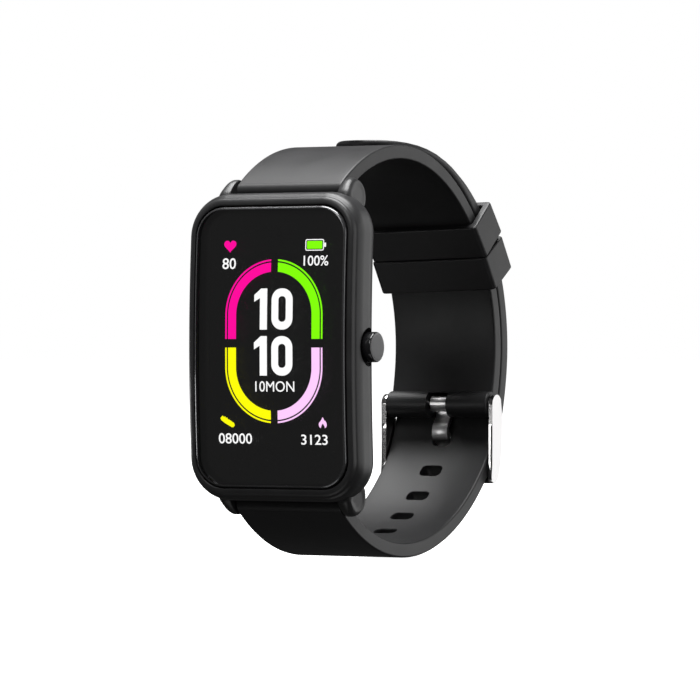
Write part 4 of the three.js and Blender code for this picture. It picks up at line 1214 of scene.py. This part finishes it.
# Lamps as (name, place, width, height, radiance)
LAMPS = [
    ("top", (-0.1, 0.0, 1.5), 1.2, 1.2, 11.5),
    ("right", (1.9, 0.17, 0.15), 2.4, 1.6, 0.95),
    ("rear", (0.95, 1.7, 0.2), 1.5, 1.5, 1.08),
    ("left", (-1.95, -0.5, 0.2), 0.9, 0.9, 0.42),
    ("fill", (-0.05, -1.5, 1.15), 0.65, 0.9, 4.2),
    ("under", (-0.1, -0.5, -1.3), 0.9, 0.9, 0.7),
    ("card", (-0.0265, -0.031, -0.011), 0.012, 0.013, 3.8),
]
CAMERA_PLACE = (0.3262, -0.6059, -0.00043)
CAMERA_TURN = 28.6  # degrees
CAMERA_LENS = 228.5


def make_floor():
    """A white floor that the camera sees and that gives the object no light and no reflection."""
    half = FLOOR_HALF_SIZE
    corners = [(-half, -half), (half, -half), (half, half), (-half, half)]
    mesh = bpy.data.meshes.new("floor")
    mesh.from_pydata([(x, y, FLOOR_HEIGHT) for x, y in corners], [], [(0, 1, 2, 3)])
    floor = linked("floor", mesh)
    material, nodes, _ = new_material("floor_white")
    shader = nodes["Principled BSDF"]
    put(shader, "Base Color", (0.6, 0.6, 0.6, 1))
    put(shader, "Roughness", 1.0)
    put(shader, "Specular IOR Level", 0.0)
    put(shader, "Emission Color", (1, 1, 1, 1))
    put(shader, "Emission Strength", 1.0)
    mesh.materials.append(material)
    floor.visible_diffuse = False
    floor.visible_glossy = False


def make_world():
    """White behind the object, and a dim room for its reflections."""
    world = bpy.data.worlds.new("studio")
    bpy.context.scene.world = world
    world.use_nodes = True
    nodes, links = world.node_tree.nodes, world.node_tree.links
    room = nodes["Background"]
    put(room, "Color", (1, 1, 1, 1))
    put(room, "Strength", ROOM_LIGHT)
    backdrop = nodes.new("ShaderNodeBackground")
    put(backdrop, "Color", (1, 1, 1, 1))
    put(backdrop, "Strength", 1.0)
    rays = nodes.new("ShaderNodeLightPath")
    mix = nodes.new("ShaderNodeMixShader")
    links.new(rays.outputs["Is Camera Ray"], mix.inputs["Fac"])
    links.new(room.outputs["Background"], mix.inputs[1])
    links.new(backdrop.outputs["Background"], mix.inputs[2])
    links.new(mix.outputs["Shader"], nodes["World Output"].inputs["Surface"])


def softbox(name, place, width, height, radiance):
    """A lamp that faces the origin; radiance is what a mirror would show."""
    lamp = bpy.data.lights.new(name, "AREA")
    lamp.shape = "RECTANGLE"
    lamp.size = width
    lamp.size_y = height
    lamp.energy = radiance * math.pi * width * height
    thing = linked(name, lamp)
    thing.location = place
    thing.rotation_euler = (-Vector(place)).to_track_quat("-Z", "Y").to_euler()
    thing.visible_camera = False


def make_studio():
    make_world()
    make_floor()
    for lamp in LAMPS:
        softbox(*lamp)


def make_camera():
    camera_data = bpy.data.cameras.new("camera")
    camera_data.sensor_width = 36
    camera_data.lens = CAMERA_LENS
    camera_data.clip_start = 0.01
    camera = linked("camera", camera_data)
    camera.location = CAMERA_PLACE
    camera.rotation_euler = (math.pi / 2, 0, math.radians(CAMERA_TURN))
    bpy.context.scene.camera = camera
    bpy.context.scene.view_settings.view_transform = "Standard"


make_camera()
make_studio()
dress_frame()
make_case()
make_glass()
make_border()
make_ring()
make_numerals()
make_icons()
make_figures()
make_rear_cover()
make_sensor_window()
make_contacts()
make_screws()
make_button()
make_strap_upper()
make_strap_lower()
make_keeper("keeper_upper", "strap_loop_upper", LOOP_ARCS[1], 38.2, 40.0)
make_keeper("keeper_lower", "strap_loop_lower", LOOP_ARCS[2], 32.0, 28.3)
make_buckle()
make_prong()
